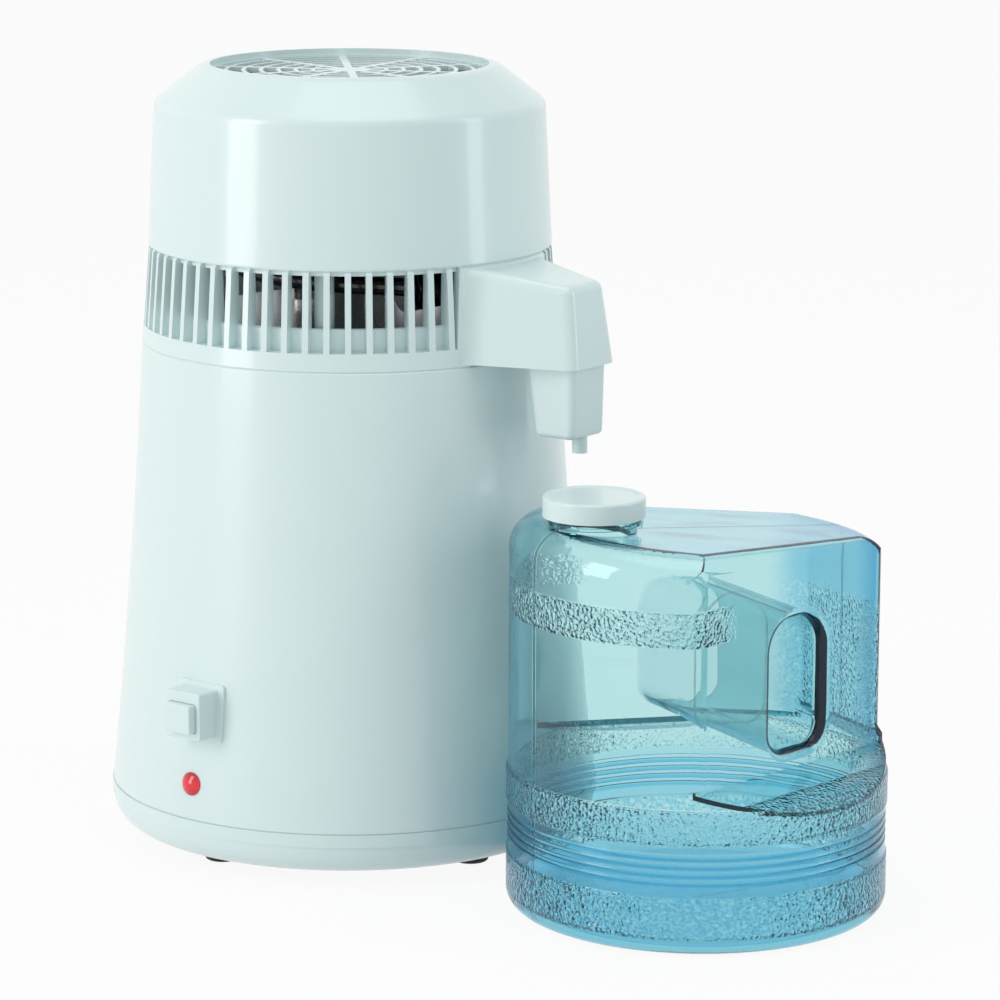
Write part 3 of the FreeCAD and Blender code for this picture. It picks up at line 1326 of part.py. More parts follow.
def grip_block(inset):
    x = GRIP_FACE_X - inset
    foot = GRIP_FOOT_Z - inset * 0.5
    flare = [(x + 60, foot - 60), (x + 8.0, foot - 10.0)]
    outline = [Vector(px, -120, pz) for px, pz in [(x, foot), (x, 300), (x + 60, 300)] + flare]
    return Part.Face(Part.makePolygon(outline + outline[:1])).extrude(Vector(0, 240, 0))


def window_block(grow):
    x0, x1 = WINDOW_IN - grow, WINDOW_OUT + grow
    z0, z1 = WINDOW_FOOT - grow, WINDOW_TOP + grow
    mid = (x0 + x1) / 2
    corners = [Vector(x, -120, z) for x, z in ((mid, z0), (x1, z0), (x1, z1), (x0, z1), (x0, z0), (mid, z0))]
    low = WINDOW_FOOT_R + grow
    high = WINDOW_TOP_R + grow
    wire = Part.Wire(path_of(corners, [low, high, high, low]))
    return Part.Face(wire).extrude(Vector(0, 240, 0))


def edge_rounder(corner, face_a, face_b, r):
    """What rounding a straight edge takes off: corner is on it, face_a and face_b are its outward normals."""
    along = face_a.cross(face_b).normalize()
    centre = corner - (face_a + face_b) * (r / (1 + face_a.dot(face_b)))
    on_a = centre + face_a * r
    on_b = centre + face_b * r
    middle = centre + (face_a + face_b).normalize() * r
    outer = [on_b + face_b * r, corner + (face_a + face_b) * r, on_a + face_a * r]
    lines = [on_b] + outer + [on_a]
    edges = [Part.LineSegment(a, b).toShape() for a, b in zip(lines, lines[1:])]
    face = Part.Face(Part.Wire(edges + [Part.Arc(on_a, middle, on_b).toShape()]))
    face.translate(along * (-FAR / 2))
    return face.extrude(along * FAR)


def panel_top_rounder(side, inset):
    """The rounding along the top edge of a side panel."""
    a = math.radians(PANEL_ANGLE)
    start = Vector(PANEL_START, side * math.sqrt(JUG_WALL_R ** 2 - PANEL_START ** 2), 0)
    out = Vector(math.sin(a), side * math.cos(a), 0)
    up = Vector(JUG_TOP_SLOPE, 0, 1).normalize()
    foot = start - out * inset
    corner = Vector(foot.x, foot.y, jug_top_z(foot.x) - inset)
    return edge_rounder(corner, out, up, PANEL_TOP_EDGE - inset)


def panel_side_rounder(side, inset):
    """The rounding of the upright edge where the round body meets a side panel."""
    a = math.radians(PANEL_ANGLE)
    start = Vector(PANEL_START, side * math.sqrt(JUG_WALL_R ** 2 - PANEL_START ** 2), 0)
    out = Vector(math.sin(a), side * math.cos(a), 0)
    along = Vector(math.cos(a), -side * math.sin(a), 0)
    depth = start.dot(out) - PANEL_SIDE_EDGE
    reach = JUG_WALL_R - PANEL_SIDE_EDGE
    centre = out * depth - along * math.sqrt(reach ** 2 - depth ** 2)
    radial = Vector(centre).normalize()
    r = PANEL_SIDE_EDGE - inset
    on_wall = centre + radial * r
    on_panel = centre + out * r
    middle = centre + (radial + out).normalize() * r
    beyond = (radial + out).normalize() * (3 * r)
    lines = [on_panel, on_panel + out * r, centre + beyond, on_wall + radial * r, on_wall]
    edges = [Part.LineSegment(a, b).toShape() for a, b in zip(lines, lines[1:])]
    face = Part.Face(Part.Wire(edges + [Part.Arc(on_wall, middle, on_panel).toShape()]))
    face.translate(UP * (PANEL_FOOT_Z + 1.0))
    return face.extrude(UP * FAR)


def jug_solid(inset):
    body = spun(jug_profile(inset)).cut(above_top(inset))
    rim = [e for e in body.Edges if min(v.Z for v in e.Vertexes) > JUG_TOP_Z - 30]
    body = body.makeFillet(JUG_SHOULDER - inset, rim)
    for side in (-1, 1):
        body = body.cut(panel_block(side, inset))
    body = body.cut(grip_block(inset))
    grip = [e for e in body.Edges if all(abs(v.X - GRIP_FACE_X + inset) < 0.01 for v in e.Vertexes)]
    upright = [e for e in grip if abs(e.tangentAt(e.FirstParameter).z) > 0.99 and e.Length > 50]
    body = body.makeFillet(GRIP_EDGE - inset, upright)
    for side in (-1, 1):
        body = body.cut(panel_side_rounder(side, inset)).cut(panel_top_rounder(side, inset))
    return body


def window_rim(body):
    """The edges where the handle's window opens through the side panels."""
    rim = []
    for e in body.Edges:
        mid = e.valueAt((e.FirstParameter + e.LastParameter) / 2)
        across = WINDOW_IN - 0.5 < mid.x < WINDOW_OUT + 0.5
        upright = WINDOW_FOOT - 0.5 < mid.z < WINDOW_TOP + 0.5
        if abs(mid.y) > 20 and across and upright:
            rim.append(e)
    return rim


def jug_body():
    outer = jug_solid(0.0).cut(window_block(0.0))
    outer = outer.makeFillet(WINDOW_EDGE, window_rim(outer))
    neck_at = Vector(NECK_AT, 0, 0)
    neck = disc(NECK_R, JUG_TOP_Z - 8.0, NECK_TOP_Z, neck_at)
    bead = disc(NECK_BEAD_R, NECK_BEAD_Z - NECK_BEAD_H, NECK_BEAD_Z, neck_at)
    threads = [disc(THREAD_R, z, z + THREAD_H, neck_at) for z in THREAD_Z]
    outer = joined([outer, neck, bead] + threads)
    inner = jug_solid(JUG_WALL).cut(window_block(JUG_WALL))
    jug = outer.cut(inner).cut(disc(NECK_BORE_R, JUG_TOP_Z - 20.0, NECK_TOP_Z + 1, neck_at))
    save("jug_body", jug_place(jug))


def jug_cap():
    at = Vector(NECK_AT, 0, 0)
    top = CAP_TOP_Z
    ceiling = top - CAP_DISH - CAP_TOP_T
    edge = [(CAP_R, top - CAP_EDGE), (CAP_R - 0.35, top - 0.35, True), (CAP_R - CAP_EDGE, top)]
    dish = [(CAP_R - CAP_RIM, top), (CAP_R - CAP_RIM - 1.0, top - CAP_DISH), (0, top - CAP_DISH)]
    foot = [(CAP_BORE_R, CAP_FOOT_Z), (CAP_R, CAP_FOOT_Z)]
    outline = foot + edge + dish + [(0, ceiling), (CAP_BORE_R, ceiling)]
    cap = spun(outline)
    cap.translate(at)
    save("jug_cap", jug_place(cap))
    liner = disc(LINER_R, NECK_TOP_Z, ceiling, at)
    save("cap_liner", jug_place(liner))


base_tray()
rubber_feet()
base_screws()
housing_shell()
button_box()
push_button()
start_switch()
button_spring()
lamp()
power_inlet()
fan_socket()
boiling_chamber()
heat_plate()
heating_element()
thermostats()
thermostat_strap()
vent_ring()
head_socket()
arm_base()
filter_cup()
outlet_grommet()
pan_gasket()
condenser_pan()
condenser_coil()
fan_blades()
fan_motor()
motor_bracket()
top_cover()
head_screws()
top_grille()
jug_body()
jug_cap()
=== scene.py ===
# %% [markdown]
# A countertop water distiller: a white boiler, a slatted head with a fan, an arm with a filter
# cup, and a clear blue jug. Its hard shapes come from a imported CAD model, which is loaded here as a
# fixed frame. Everything after that gives the frame its finishes, its small parts and its studio.

# %% Load the frame
import json
import math

import bpy
from mathutils import Matrix, Vector


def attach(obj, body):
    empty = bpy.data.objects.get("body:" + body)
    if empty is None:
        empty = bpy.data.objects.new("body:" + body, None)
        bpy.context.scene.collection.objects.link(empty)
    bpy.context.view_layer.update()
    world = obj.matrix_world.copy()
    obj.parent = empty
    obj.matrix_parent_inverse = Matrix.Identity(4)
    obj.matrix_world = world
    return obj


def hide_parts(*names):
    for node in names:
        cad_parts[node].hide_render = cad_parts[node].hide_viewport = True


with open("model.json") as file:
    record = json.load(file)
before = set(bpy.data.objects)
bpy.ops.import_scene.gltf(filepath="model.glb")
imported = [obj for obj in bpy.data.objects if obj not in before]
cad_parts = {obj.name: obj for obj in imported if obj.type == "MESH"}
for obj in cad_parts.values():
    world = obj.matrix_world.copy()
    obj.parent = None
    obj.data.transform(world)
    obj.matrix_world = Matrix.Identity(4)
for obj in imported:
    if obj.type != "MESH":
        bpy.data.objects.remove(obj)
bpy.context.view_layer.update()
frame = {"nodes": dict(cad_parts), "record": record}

MM = 0.001
cad = frame["nodes"]

# %% [markdown]
# The camera comes first, because every look is judged through it. It stands two metres away and a
# little above the lid, and a long lens keeps the boiler's sides nearly parallel. The lens is given
# in millimetres on a 36 mm sensor, so its number is the focal length in pixels times 0.036.

# %% Camera
FOCAL_PX = 4332.44
IMAGE_PX = 1000.0
SENSOR_MM = 36.0
CAMERA_HEIGHT = 0.57726
CAMERA_BACK = 2.01508
PITCH = math.radians(11.706)
YAW = math.radians(2.002)
ROLL = math.radians(0.151)


def camera_turn():
    """The camera's axes as a rotation: right, up and backwards."""
    level = math.cos(PITCH)
    forward = Vector((math.sin(YAW) * level, math.cos(YAW) * level, -math.sin(PITCH)))
    right = Vector((math.cos(YAW), -math.sin(YAW), 0.0))
    up = right.cross(forward)
    leaning_right = right * math.cos(ROLL) + up * math.sin(ROLL)
    leaning_up = up * math.cos(ROLL) - right * math.sin(ROLL)
    return Matrix((leaning_right, leaning_up, -forward)).transposed()


eye = bpy.data.cameras.new("eye")
eye.sensor_width = SENSOR_MM
eye.lens = FOCAL_PX * SENSOR_MM / IMAGE_PX
eye.clip_start = 0.05
eye.clip_end = 60.0
eye_object = bpy.data.objects.new("eye", eye)
bpy.context.scene.collection.objects.link(eye_object)
stand = Matrix.Translation((0.0, -CAMERA_BACK, CAMERA_HEIGHT))
eye_object.matrix_world = stand @ camera_turn().to_4x4()
bpy.context.scene.camera = eye_object
print("camera lens:", round(eye.lens, 2), "mm")

# %% [markdown]
# Shader maths reads best as plain expressions. A Term holds one output of a node, and the
# operators + - * add the Math node that does the sum, so 1 - mask works as it would on paper.
# Every other node comes from one method of the class Wiring, node(), which sets its settings first
# and its sockets after them. Materials, the world and Geometry Nodes all use it.

# %% A small language for materials
finishes = {}


class Term:
    """One number that varies over a surface."""

    def __init__(self, wiring, out):
        self.wiring = wiring
        self.out = out

    def sum_with(self, operation, first, second):
        made = self.wiring.node("ShaderNodeMath", {"operation": operation}, {0: first, 1: second})
        return Term(self.wiring, made.outputs[0])

    def __add__(self, other):
        return self.sum_with("ADD", self, other)

    __radd__ = __add__

    def __sub__(self, other):
        return self.sum_with("SUBTRACT", self, other)

    def __rsub__(self, other):
        return self.sum_with("SUBTRACT", other, self)

    def __mul__(self, other):
        return self.sum_with("MULTIPLY", self, other)

    __rmul__ = __mul__

    def ramp(self, low, high):
        """0 up to low and 1 from high on, with a smooth rise between them."""
        made = self.wiring.node("ShaderNodeMapRange", {"interpolation_type": "SMOOTHSTEP"},
                                {0: self, 1: low, 2: high})
        return Term(self.wiring, made.outputs[0])

    def above(self, level, soft):
        """0 below the level and 1 above it, with a soft edge."""
        return self.ramp(level - soft, level + soft)

    def between(self, low, high, soft):
        """1 from low to high and 0 outside, with soft edges."""
        return self.above(low, soft) * (1 - self.above(high, soft))


class Wiring:
    """A node tree that starts empty, in which one method makes and joins every node."""

    def __init__(self, tree):
        self.tree = tree
        self.tree.nodes.clear()

    def node(self, kind, settings=None, sockets=None):
        made = self.tree.nodes.new(kind)
        for key, value in (settings or {}).items():
            setattr(made, key, value)
        for key, value in (sockets or {}).items():
            self.feed(made.inputs[key], value)
        return made

    def feed(self, socket, value):
        """Joins a term or a node's output to the socket, or sets a plain value in it."""
        if isinstance(value, Term):
            value = value.out
        if isinstance(value, bpy.types.NodeSocket):
            self.tree.links.new(value, socket)
        else:
            socket.default_value = value

    def blend_colours(self, factor, first, second):
        made = self.node("ShaderNodeMix", {"data_type": "RGBA"}, {"Factor": factor, 6: first, 7: second})
        return made.outputs[2]

    def shown_rays(self):
        """0 for a ray that only lights, and 1 or more for one from the camera, gloss or glass."""
        path = self.node("ShaderNodeLightPath")
        seen = Term(self, path.outputs["Is Camera Ray"])
        mirrored = Term(self, path.outputs["Is Glossy Ray"])
        through = Term(self, path.outputs["Is Transmission Ray"])
        return seen + (mirrored + through)


class Shade(Wiring):
    """A material and the nodes in it."""

    def __init__(self, name):
        self.material = bpy.data.materials.new(name)
        finishes[name] = self.material
        self.material.use_nodes = True
        super().__init__(self.material.node_tree)
        self.end = self.node("ShaderNodeOutputMaterial")

    def place(self):
        """Position on the object in millimetres, as a vector."""
        where = self.node("ShaderNodeTexCoord").outputs["Object"]
        scaled = self.node("ShaderNodeVectorMath", {"operation": "SCALE"}, {0: where, "Scale": 1.0 / MM})
        return scaled.outputs[0]

    def axes(self, where):
        """The three numbers of a position."""
        parts = self.node("ShaderNodeSeparateXYZ", None, {0: where})
        return [Term(self, out) for out in parts.outputs]

    def noise(self, where, size, detail=2.0, roughness=0.5):
        """Soft noise whose patches are about size millimetres across."""
        made = self.node("ShaderNodeTexNoise", None,
                         {"Vector": where, "Scale": 1.0 / size, "Detail": detail, "Roughness": roughness})
        return Term(self, made.outputs["Fac"])

    def bump(self, height, depth_mm):
        made = self.node("ShaderNodeBump", None,
                         {"Height": height, "Distance": depth_mm * MM, "Strength": 1.0})
        return made.outputs["Normal"]

    def principled(self, sockets):
        return self.node("ShaderNodeBsdfPrincipled", None, sockets).outputs["BSDF"]

    def mix_shaders(self, factor, first, second):
        return self.node("ShaderNodeMixShader", None, {0: factor, 1: first, 2: second}).outputs[0]

    def surface(self, shader):
        self.feed(self.end.inputs["Surface"], shader)
        return self.material


print("material language ready")

# %% [markdown]
# The boiler, the ring and the lid are glossy white mouldings with a cool tint. Real mouldings
# aren't perfectly even: the colour drifts a little over the wall, and the polish has a slight
# orange peel that only shows in the reflections. Two sizes of noise give both.

# %% White mouldings
WHITE = (0.745, 0.862, 0.868, 1.0)
WHITE_DEEP = (0.712, 0.842, 0.850, 1.0)


def white_moulding(name, roughness, peel_mm, peel_depth):
    shade = Shade(name)
    where = shade.place()
    drift = shade.noise(where, 140.0, 1.0)
    cloud = shade.noise(where, 24.0, 1.0)
    peel = shade.noise(where, peel_mm, 1.0)
    return shade.surface(shade.principled({
        "Base Color": shade.blend_colours(drift * 0.5 + cloud * 0.06, WHITE, WHITE_DEEP),
        "Roughness": roughness + cloud * 0.04,
        "Normal": shade.bump(peel, peel_depth),
        "IOR": 1.5,
        "Coat Weight": 0.35,
        "Coat Roughness": 0.08,
    }))


white_moulding("white_gloss", 0.24, 2.2, 0.010)
white_moulding("white_satin", 0.40, 0.8, 0.012)
white_moulding("cap_white", 0.30, 1.6, 0.012)
print("white mouldings:", ", ".join(finishes))

# %% [markdown]
# The jug is blown from clear blue plastic. What colours it is the thickness of the wall, so the tint
# comes from a volume that absorbs red. A little solid blue is mixed in, more where the wall is
# seen aslant, because the light that the real plastic scatters keeps its dark edges blue.
# Two stippled bands, one on the shoulder and a patch on the grip are a fine pebble texture, made as
# bump and roughness between named heights, and each pebble's glint and shade is also painted into
# the tint as lighter and darker spots. The low wall and the grip are a little thicker, so the surface
# tint deepens there, and a thin raised line marks where the mould's halves met.

# %% Clear blue plastic
JUG_CENTRE = (155.0, -129.6)
JUG_TURN = math.radians(27.0)
STIPPLE_LOW = (8.0, 26.2)
STIPPLE_MID = (50.4, 65.0)
STIPPLE_HIGH = (138.0, 153.0)
STIPPLE_GRIP = (66.0, 136.0)
GRIP_FROM = 66.0
SHOULDER_END = -26.0
RIB_LINES = (32.5, 36.3, 40.1, 43.9)
RIB_HALF = 0.6
PEBBLE_SCALE = 0.66
PEBBLE_MEAN = 0.36
SEAM_HALF = 0.35
CLEAR_TINT = (0.995, 0.998, 0.985, 1.0)
THICK_TINT = (0.22, 0.64, 0.86, 1.0)
SOLID_BLUE = (0.015, 0.34, 0.72, 1.0)
DEPTH_BLUE = (0.06, 0.70, 0.74, 1.0)


def jug_place(shade):
    """Millimetres in the jug's own frame: along the handle, across it and up."""
    where = shade.place()
    x, y, z = shade.axes(where)
    dx = x - JUG_CENTRE[0]
    dy = y - JUG_CENTRE[1]
    along = dx * math.cos(JUG_TURN) + dy * math.sin(JUG_TURN)
    across = dy * math.cos(JUG_TURN) - dx * math.sin(JUG_TURN)
    return where, along, across, z


def pebbles(shade, where):
    cells = shade.node("ShaderNodeTexVoronoi", {"feature": "SMOOTH_F1"},
                       {"Vector": where, "Scale": PEBBLE_SCALE, "Smoothness": 0.7, "Randomness": 1.0})
    return Term(shade, cells.outputs["Distance"])


def clear_blue():
    shade = Shade("jug_blue")
    where, along, across, z = jug_place(shade)
    grip = along.above(GRIP_FROM, 9.0)
    bands = (z.between(*STIPPLE_LOW, 0.5) + z.between(*STIPPLE_MID, 0.5)
             + z.between(*STIPPLE_HIGH, 0.6) * (1 - along.above(SHOULDER_END, 12.0))
             + grip * z.between(*STIPPLE_GRIP, 6.0) * 0.6)
    pebble = pebbles(shade, where)
    grain = pebble * bands
    # Painted light: each pebble's glint and shade, as lighter and darker spots in the tint.
    painted_pebble_glints = (pebble - PEBBLE_MEAN) * bands
    waves = shade.noise(where, 34.0, 1.0) * 0.30
    seam = across.between(-SEAM_HALF, SEAM_HALF, 0.2) * 0.35
    grooves = sum(z.between(height - RIB_HALF, height + RIB_HALF, 0.4) for height in RIB_LINES)
    low_wall = 1 - z.ramp(STIPPLE_LOW[1], STIPPLE_MID[1] + 8.0)
    slant = Term(shade, shade.node("ShaderNodeLayerWeight", None, {"Blend": 0.5}).outputs["Facing"])
    edge = slant * slant * slant
    # Besides the wall's depth of tint, this carries the pebbles' painted glints and shade.
    tint_depth_and_painted_glints = (low_wall * 0.58 + grip * z.above(STIPPLE_MID[1], 12.0) * 0.75 + edge * 0.8
             + grooves * 0.8 - painted_pebble_glints * 1.9)
    relief = shade.bump(grain * 0.9 + waves + seam, 0.9)
    clear = shade.principled({
        "Base Color": shade.blend_colours(tint_depth_and_painted_glints, CLEAR_TINT, THICK_TINT),
        "Roughness": 0.012 + bands * 0.09,
        "Normal": relief,
        "IOR": 1.42,
        "Transmission Weight": 1.0,
    })
    solid = shade.principled({"Base Color": SOLID_BLUE, "Roughness": 0.3, "Normal": relief})
    depth = shade.node("ShaderNodeVolumeAbsorption", None, {"Color": DEPTH_BLUE, "Density": 145.0})
    shade.feed(shade.end.inputs["Volume"], depth.outputs["Volume"])
    return shade.surface(shade.mix_shaders(edge * 0.16 + 0.012, clear, solid))


clear_blue()
print("with the jug's plastic:", len(finishes), "finishes")

# %% [markdown]
# The other finishes are short variations on a few ideas: brushed or plated metal with fine grain,
# moulded black plastic, rubber with a dull skin, woven cloth, and a red lens that glows a little
# because the lamp behind it is on.

# %% Metals
def metal(name, colour, roughness, grain_mm, stretch, depth=0.006):
    shade = Shade(name)
    where = shade.place()
    turned = shade.node("ShaderNodeMapping", None, {"Vector": where, "Scale": stretch})
    grain = shade.noise(turned.outputs[0], grain_mm, 4.0, 0.6)
    patch = shade.noise(where, 18.0, 2.0)
    dark = tuple(c * 0.78 for c in colour[:3]) + (1.0,)
    return shade.surface(shade.principled({
        "Base Color": shade.blend_colours(grain * 0.5 + patch * 0.4, colour, dark),
        "Metallic": 1.0,
        "Roughness": roughness + grain * 0.14,
        "Normal": shade.bump(grain, depth),
    }))


metal("stainless", (0.62, 0.63, 0.64, 1.0), 0.22, 1.4, (1.0, 1.0, 14.0))
metal("plated_steel", (0.52, 0.53, 0.55, 1.0), 0.34, 2.0, (1.0, 1.0, 1.0))
metal("cast_alloy", (0.56, 0.57, 0.58, 1.0), 0.46, 0.9, (1.0, 1.0, 1.0), 0.03)
metal("sheath_steel", (0.24, 0.23, 0.23, 1.0), 0.40, 1.2, (1.0, 1.0, 1.0))
metal("brass_plain", (0.62, 0.44, 0.18, 1.0), 0.26, 1.0, (1.0, 1.0, 6.0))
print("with the metals:", len(finishes), "finishes")

# %% Dark plastics, rubber and cloth
def moulded(name, colour, pale, roughness, grain_mm, depth, coat=0.0):
    shade = Shade(name)
    where = shade.place()
    grain = shade.noise(where, grain_mm, 3.0, 0.6)
    patch = shade.noise(where, 14.0, 2.0)
    return shade.surface(shade.principled({
        "Base Color": shade.blend_colours(patch * 0.6 + grain * 0.2, colour, pale),
        "Roughness": roughness + grain * 0.12,
        "Normal": shade.bump(grain, depth),
        "Coat Weight": coat,
        "Coat Roughness": 0.06,
    }))


moulded("black_plastic", (0.012, 0.012, 0.013, 1.0), (0.030, 0.030, 0.032, 1.0), 0.34, 0.5, 0.02)
moulded("black_rubber", (0.008, 0.008, 0.008, 1.0), (0.026, 0.025, 0.024, 1.0), 0.58, 0.9, 0.05)
moulded("grey_silicone", (0.46, 0.48, 0.49, 1.0), (0.38, 0.40, 0.42, 1.0), 0.52, 1.4, 0.03)
moulded("phenolic", (0.030, 0.017, 0.010, 1.0), (0.055, 0.034, 0.022, 1.0), 0.38, 0.8, 0.02)
moulded("black_alloy", (0.004, 0.004, 0.005, 1.0), (0.010, 0.010, 0.011, 1.0), 0.16, 2.0, 0.01, 0.6)


def bag_cloth():
    shade = Shade("charcoal_bag")
    where = shade.place()
    fibres = shade.noise(where, 0.35, 5.0, 0.7)
    lumps = shade.node("ShaderNodeTexVoronoi", {"feature": "F1"}, {"Vector": where, "Scale": 0.5})
    granules = Term(shade, lumps.outputs["Distance"])
    return shade.surface(shade.principled({
        "Base Color": shade.blend_colours(granules * 0.6 + fibres * 0.3,
                                          (0.030, 0.030, 0.032, 1.0), (0.16, 0.16, 0.16, 1.0)),
        "Roughness": 0.80 + fibres * 0.15,
        "Normal": shade.bump(granules + fibres * 0.3, 0.5),
    }))


bag_cloth()
print("with the dark ones:", len(finishes), "finishes")

# %% Red lens
LENS_CENTRE_Z = 44.3
LENS_GLOW_HALF = 2.8


def red_glass():
    shade = Shade("red_lens")
    where = shade.place()
    z = shade.axes(where)[2]
    facets = shade.noise(where, 1.1, 1.0)
    glow_band = z.between(LENS_CENTRE_Z - LENS_GLOW_HALF, LENS_CENTRE_Z + LENS_GLOW_HALF, 2.2)
    return shade.surface(shade.principled({
        # Painted light: the base colour is brighter in the glow band, as if lit by the lamp behind.
        "Base Color": shade.blend_colours(glow_band, (0.42, 0.004, 0.012, 1.0), (0.62, 0.010, 0.020, 1.0)),
        "Roughness": 0.12 + facets * 0.06,
        "Normal": shade.bump(facets, 0.04),
        "Emission Color": shade.blend_colours(glow_band, (0.30, 0.002, 0.006, 1.0), (0.62, 0.006, 0.014, 1.0)),
        "Emission Strength": 0.35,
        "Coat Weight": 0.5,
    }))


red_glass()
print("all finishes:", len(finishes))

# %% [markdown]
# Each solid of the frame keeps its shape and takes the finish that the record names for it. One
# table from slot to material dresses them all, so a finish is changed in one place.

# %% Dress the frame
slots = {part["node"]: part["material_slot"] for part in frame["record"]["subparts"]}
for node_name, node in cad.items():
    node.data.materials.clear()
    node.data.materials.append(finishes[slots[node_name]])
print("dressed", len(cad), "nodes in", len(set(slots.values())), "finishes")

# %% [markdown]
# The condenser's black fins are what shows between the slats. They are thin discs threaded on the
# coil, so a rule places them: a falling spiral, a disc every two and a half millimetres, turned
# square to it. That is a job for Geometry Nodes, with the sizes as named inputs.

# %% Geometry Nodes helpers
class Recipe(Wiring):
    """A Geometry Nodes tree with named inputs."""

    def __init__(self, name, sizes):
        super().__init__(bpy.data.node_groups.new(name, "GeometryNodeTree"))
        face = self.tree.interface
        face.new_socket("Geometry", in_out="OUTPUT", socket_type="NodeSocketGeometry")
        self.sizes = sizes
        self.sockets = {}
        for label, value in sizes.items():
            kind = "NodeSocketInt" if isinstance(value, int) else "NodeSocketFloat"
            self.sockets[label] = face.new_socket(label, in_out="INPUT", socket_type=kind).identifier
        self.start = self.node("NodeGroupInput")
        self.end = self.node("NodeGroupOutput")

    def size(self, label):
        return self.start.outputs[label]

    def make(self, name, geometry, slot_name, body):
        """Ends the tree, applies it as a plain mesh and puts the piece on its body."""
        material = finishes[slot_name]
        real = self.node("GeometryNodeRealizeInstances", None, {"Geometry": geometry})
        painted = self.node("GeometryNodeSetMaterial", None,
                            {"Geometry": real.outputs[0], "Material": material})
        self.feed(self.end.inputs[0], painted.outputs[0])
        host = bpy.data.objects.new(name + "_host", bpy.data.meshes.new(name + "_host"))
        bpy.context.scene.collection.objects.link(host)
        modifier = host.modifiers.new("recipe", "NODES")
        modifier.node_group = self.tree
        for label, value in self.sizes.items():
            modifier[self.sockets[label]] = value
        ready = host.evaluated_get(bpy.context.evaluated_depsgraph_get())
        mesh = bpy.data.meshes.new_from_object(ready)
        bpy.data.objects.remove(host)
        mesh.name = name
        if not mesh.materials:
            mesh.materials.append(material)
        piece = bpy.data.objects.new(name, mesh)
        bpy.context.scene.collection.objects.link(piece)
        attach(piece, body)
        print(name + ":", len(mesh.vertices), "vertices,", len(mesh.polygons), "faces")
        return piece


print("recipe helper ready")

# %% Condenser fins
COIL_R = 0.060
COIL_LOW = 0.2705
COIL_FALL = 0.024
COIL_TURNS = 9.4 / 8.0
COIL_END = math.radians(-38.5 - 28.0)
FIN_R = 0.0115
FIN_THICK = 0.0009
FIN_PITCH = 0.0024


def condenser_fins():
    recipe = Recipe("fin_stack", {
        "Coil radius": COIL_R, "Turns": COIL_TURNS, "Fall": COIL_FALL * COIL_TURNS,
        "Fin radius": FIN_R, "Fin thickness": FIN_THICK, "Fin pitch": FIN_PITCH})
    spiral = recipe.node("GeometryNodeCurveSpiral", None, {
        "Resolution": 64, "Rotations": recipe.size("Turns"), "Start Radius": recipe.size("Coil radius"),
        "End Radius": recipe.size("Coil radius"), "Height": recipe.size("Fall"), "Reverse": True})
    placed = recipe.node("GeometryNodeTransform", None, {
        "Geometry": spiral.outputs[0],
        "Translation": (0.0, 0.0, COIL_LOW), "Rotation": (0.0, 0.0, COIL_END)})
    points = recipe.node("GeometryNodeCurveToPoints", {"mode": "LENGTH"}, {
        "Curve": placed.outputs[0], "Length": recipe.size("Fin pitch")})
    disc = recipe.node("GeometryNodeMeshCylinder", None, {
        "Vertices": 28, "Side Segments": 1,
        "Radius": recipe.size("Fin radius"), "Depth": recipe.size("Fin thickness")})
    fins = recipe.node("GeometryNodeInstanceOnPoints", None, {
        "Points": points.outputs[0], "Instance": disc.outputs[0], "Rotation": points.outputs["Rotation"]})
    return recipe.make("fin_discs", fins.outputs[0], "black_alloy", "head")


fin_discs = condenser_fins()
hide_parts("condenser_fins")

# %% [markdown]
# Below the cap, the jug's neck carries two short rows of small ratchet teeth, opposite each other,
# that stop the cap from working loose. A circle of points, of which only those near one diameter
# stay, with a small block on each, is again a rule, with the count and the sizes as inputs.

# %% Ratchet teeth on the neck
CAP_OFFSET = -54.5
NECK_X = (JUG_CENTRE[0] + CAP_OFFSET * math.cos(JUG_TURN)) * MM
NECK_Y = (JUG_CENTRE[1] + CAP_OFFSET * math.sin(JUG_TURN)) * MM
TEETH_Z = 0.1812
TEETH = 36


def neck_teeth():
    recipe = Recipe("ratchet_ring", {"Teeth": TEETH, "Ring radius": 0.0206, "Row reach": 0.0095,
                                     "Tooth length": 0.0022, "Tooth width": 0.0011, "Tooth height": 0.0024})
    circle = recipe.node("GeometryNodeMeshCircle", None, {
        "Vertices": recipe.size("Teeth"), "Radius": recipe.size("Ring radius")})
    spot = recipe.node("GeometryNodeInputPosition")
    split = recipe.node("ShaderNodeSeparateXYZ", None, {0: spot.outputs[0]})
    reach = recipe.node("ShaderNodeMath", {"operation": "ABSOLUTE"}, {0: split.outputs["Y"]})
    beyond = recipe.node("ShaderNodeMath", {"operation": "GREATER_THAN"}, {
        0: reach.outputs[0], 1: recipe.size("Row reach")})
    rows = recipe.node("GeometryNodeDeleteGeometry", {"domain": "POINT"}, {
        "Geometry": circle.outputs[0], "Selection": beyond.outputs[0]})
    size = recipe.node("ShaderNodeCombineXYZ", None, {
        "X": recipe.size("Tooth length"), "Y": recipe.size("Tooth width"), "Z": recipe.size("Tooth height")})
    tooth = recipe.node("GeometryNodeMeshCube", None, {"Size": size.outputs[0]})
    facing = recipe.node("FunctionNodeAlignRotationToVector", {"axis": "X"}, {"Vector": spot.outputs[0]})
    teeth = recipe.node("GeometryNodeInstanceOnPoints", None, {
        "Points": rows.outputs[0], "Instance": tooth.outputs[0], "Rotation": facing.outputs[0]})
    placed = recipe.node("GeometryNodeTransform", None, {
        "Geometry": teeth.outputs[0], "Translation": (NECK_X, NECK_Y, TEETH_Z)})
    return recipe.make("neck_teeth", placed.outputs[0], "jug_blue", "jug")


neck_teeth()

# %% [markdown]
# The studio is plain: a white sweep, a big soft lamp to the left, a weaker one to the right, and
# one above. The background is white for the camera, and for what glass and gloss mirror, through
# Light Path, while the light that reaches the object stays at a plain level.

# %% Floor
FLOOR_HALF = 9.0
FLOOR_WHITE = 0.92


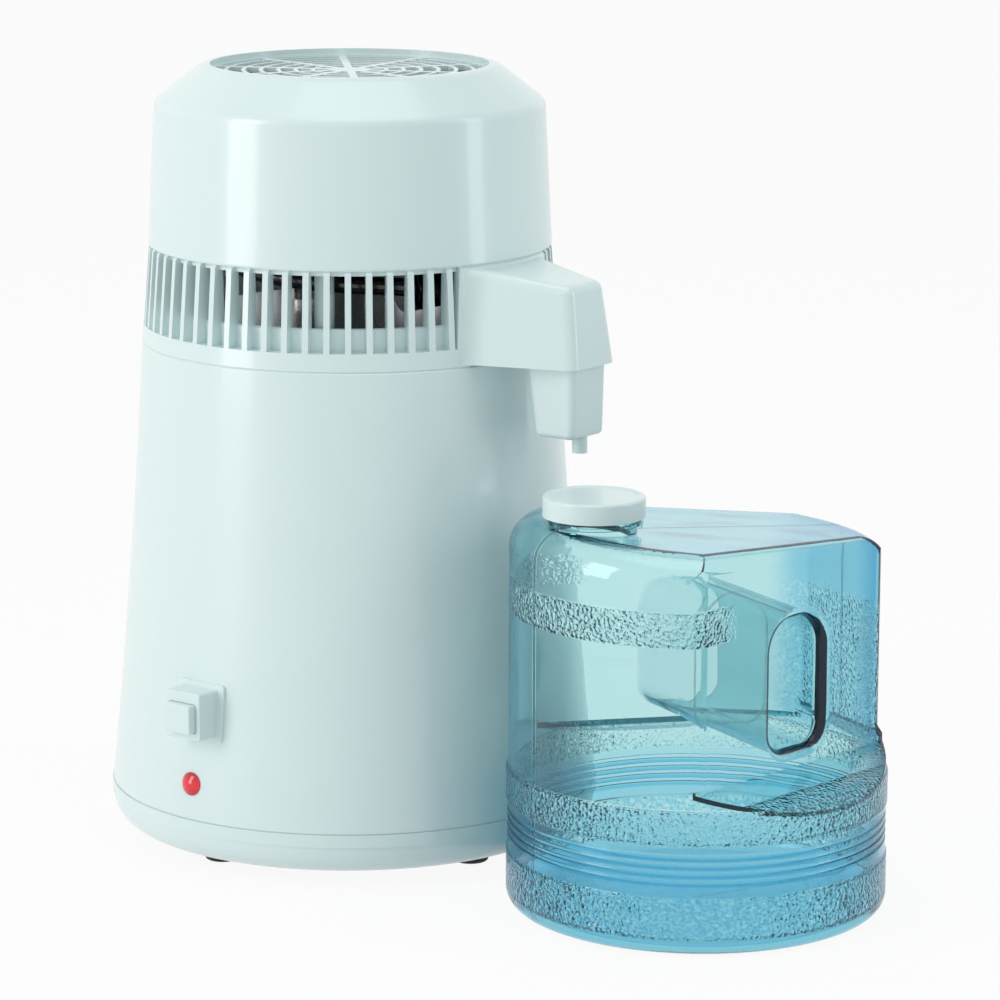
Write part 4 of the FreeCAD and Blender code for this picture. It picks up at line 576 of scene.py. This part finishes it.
def floor_material():
    shade = Shade("studio_floor")
    paint = shade.node("ShaderNodeBsdfDiffuse", None, {"Color": (FLOOR_WHITE, FLOOR_WHITE, FLOOR_WHITE, 1.0)})
    light = shade.node("ShaderNodeEmission", None, {"Color": (1.0, 1.0, 1.0, 1.0), "Strength": 1.0})
    glow = shade.shown_rays() * FLOOR_WHITE
    return shade.surface(shade.mix_shaders(glow, paint.outputs[0], light.outputs[0]))


floor_mesh = bpy.data.meshes.new("floor")
corners = [(-FLOOR_HALF, -FLOOR_HALF, 0), (FLOOR_HALF, -FLOOR_HALF, 0),
           (FLOOR_HALF, FLOOR_HALF, 0), (-FLOOR_HALF, FLOOR_HALF, 0)]
floor_mesh.from_pydata(corners, [], [(0, 1, 2, 3)])
floor_mesh.materials.append(floor_material())
floor = bpy.data.objects.new("floor", floor_mesh)
bpy.context.scene.collection.objects.link(floor)
print("floor ready")

# %% World
AMBIENT = 0.52
COOL = (0.92, 1.0, 1.0, 1.0)

world = bpy.data.worlds.new("studio")
bpy.context.scene.world = world
world.use_nodes = True
sky = Wiring(world.node_tree)
shown = sky.shown_rays()
level = sky.node("ShaderNodeMapRange", None, {0: shown, 3: AMBIENT, 4: 1.0})
tint = sky.blend_colours(shown, COOL, (1.0, 1.0, 1.0, 1.0))
dome = sky.node("ShaderNodeBackground", None, {"Color": tint, "Strength": level.outputs[0]})
sky.node("ShaderNodeOutputWorld", None, {"Surface": dome.outputs[0]})
print("world ready")

# %% Lamps
def soft_lamp(name, place, target, size, power, tint):
    lamp = bpy.data.lights.new(name, "AREA")
    lamp.shape = "RECTANGLE"
    lamp.size, lamp.size_y = size
    lamp.energy = power
    lamp.color = tint
    holder = bpy.data.objects.new(name, lamp)
    holder.location = place
    holder.rotation_euler = (Vector(target) - Vector(place)).to_track_quat("-Z", "Y").to_euler()
    bpy.context.scene.collection.objects.link(holder)


soft_lamp("left_softbox", (-1.9, -0.95, 0.9), (0.0, 0.0, 0.2), (0.8, 1.8), 20.0, (1.0, 0.95, 0.93))
soft_lamp("right_softbox", (1.9, -0.5, 0.8), (0.1, 0.0, 0.2), (0.4, 1.5), 6.0, (0.94, 1.0, 1.0))
soft_lamp("top_softbox", (0.1, -0.2, 1.9), (0.05, -0.05, 0.1), (1.3, 1.3), 6.5, (0.97, 1.0, 1.0))
print("lamps ready")

# %% [markdown]
# Colours are shown as they are, with no film curve.

# %% Colours as they are
bpy.context.scene.view_settings.view_transform = "Standard"
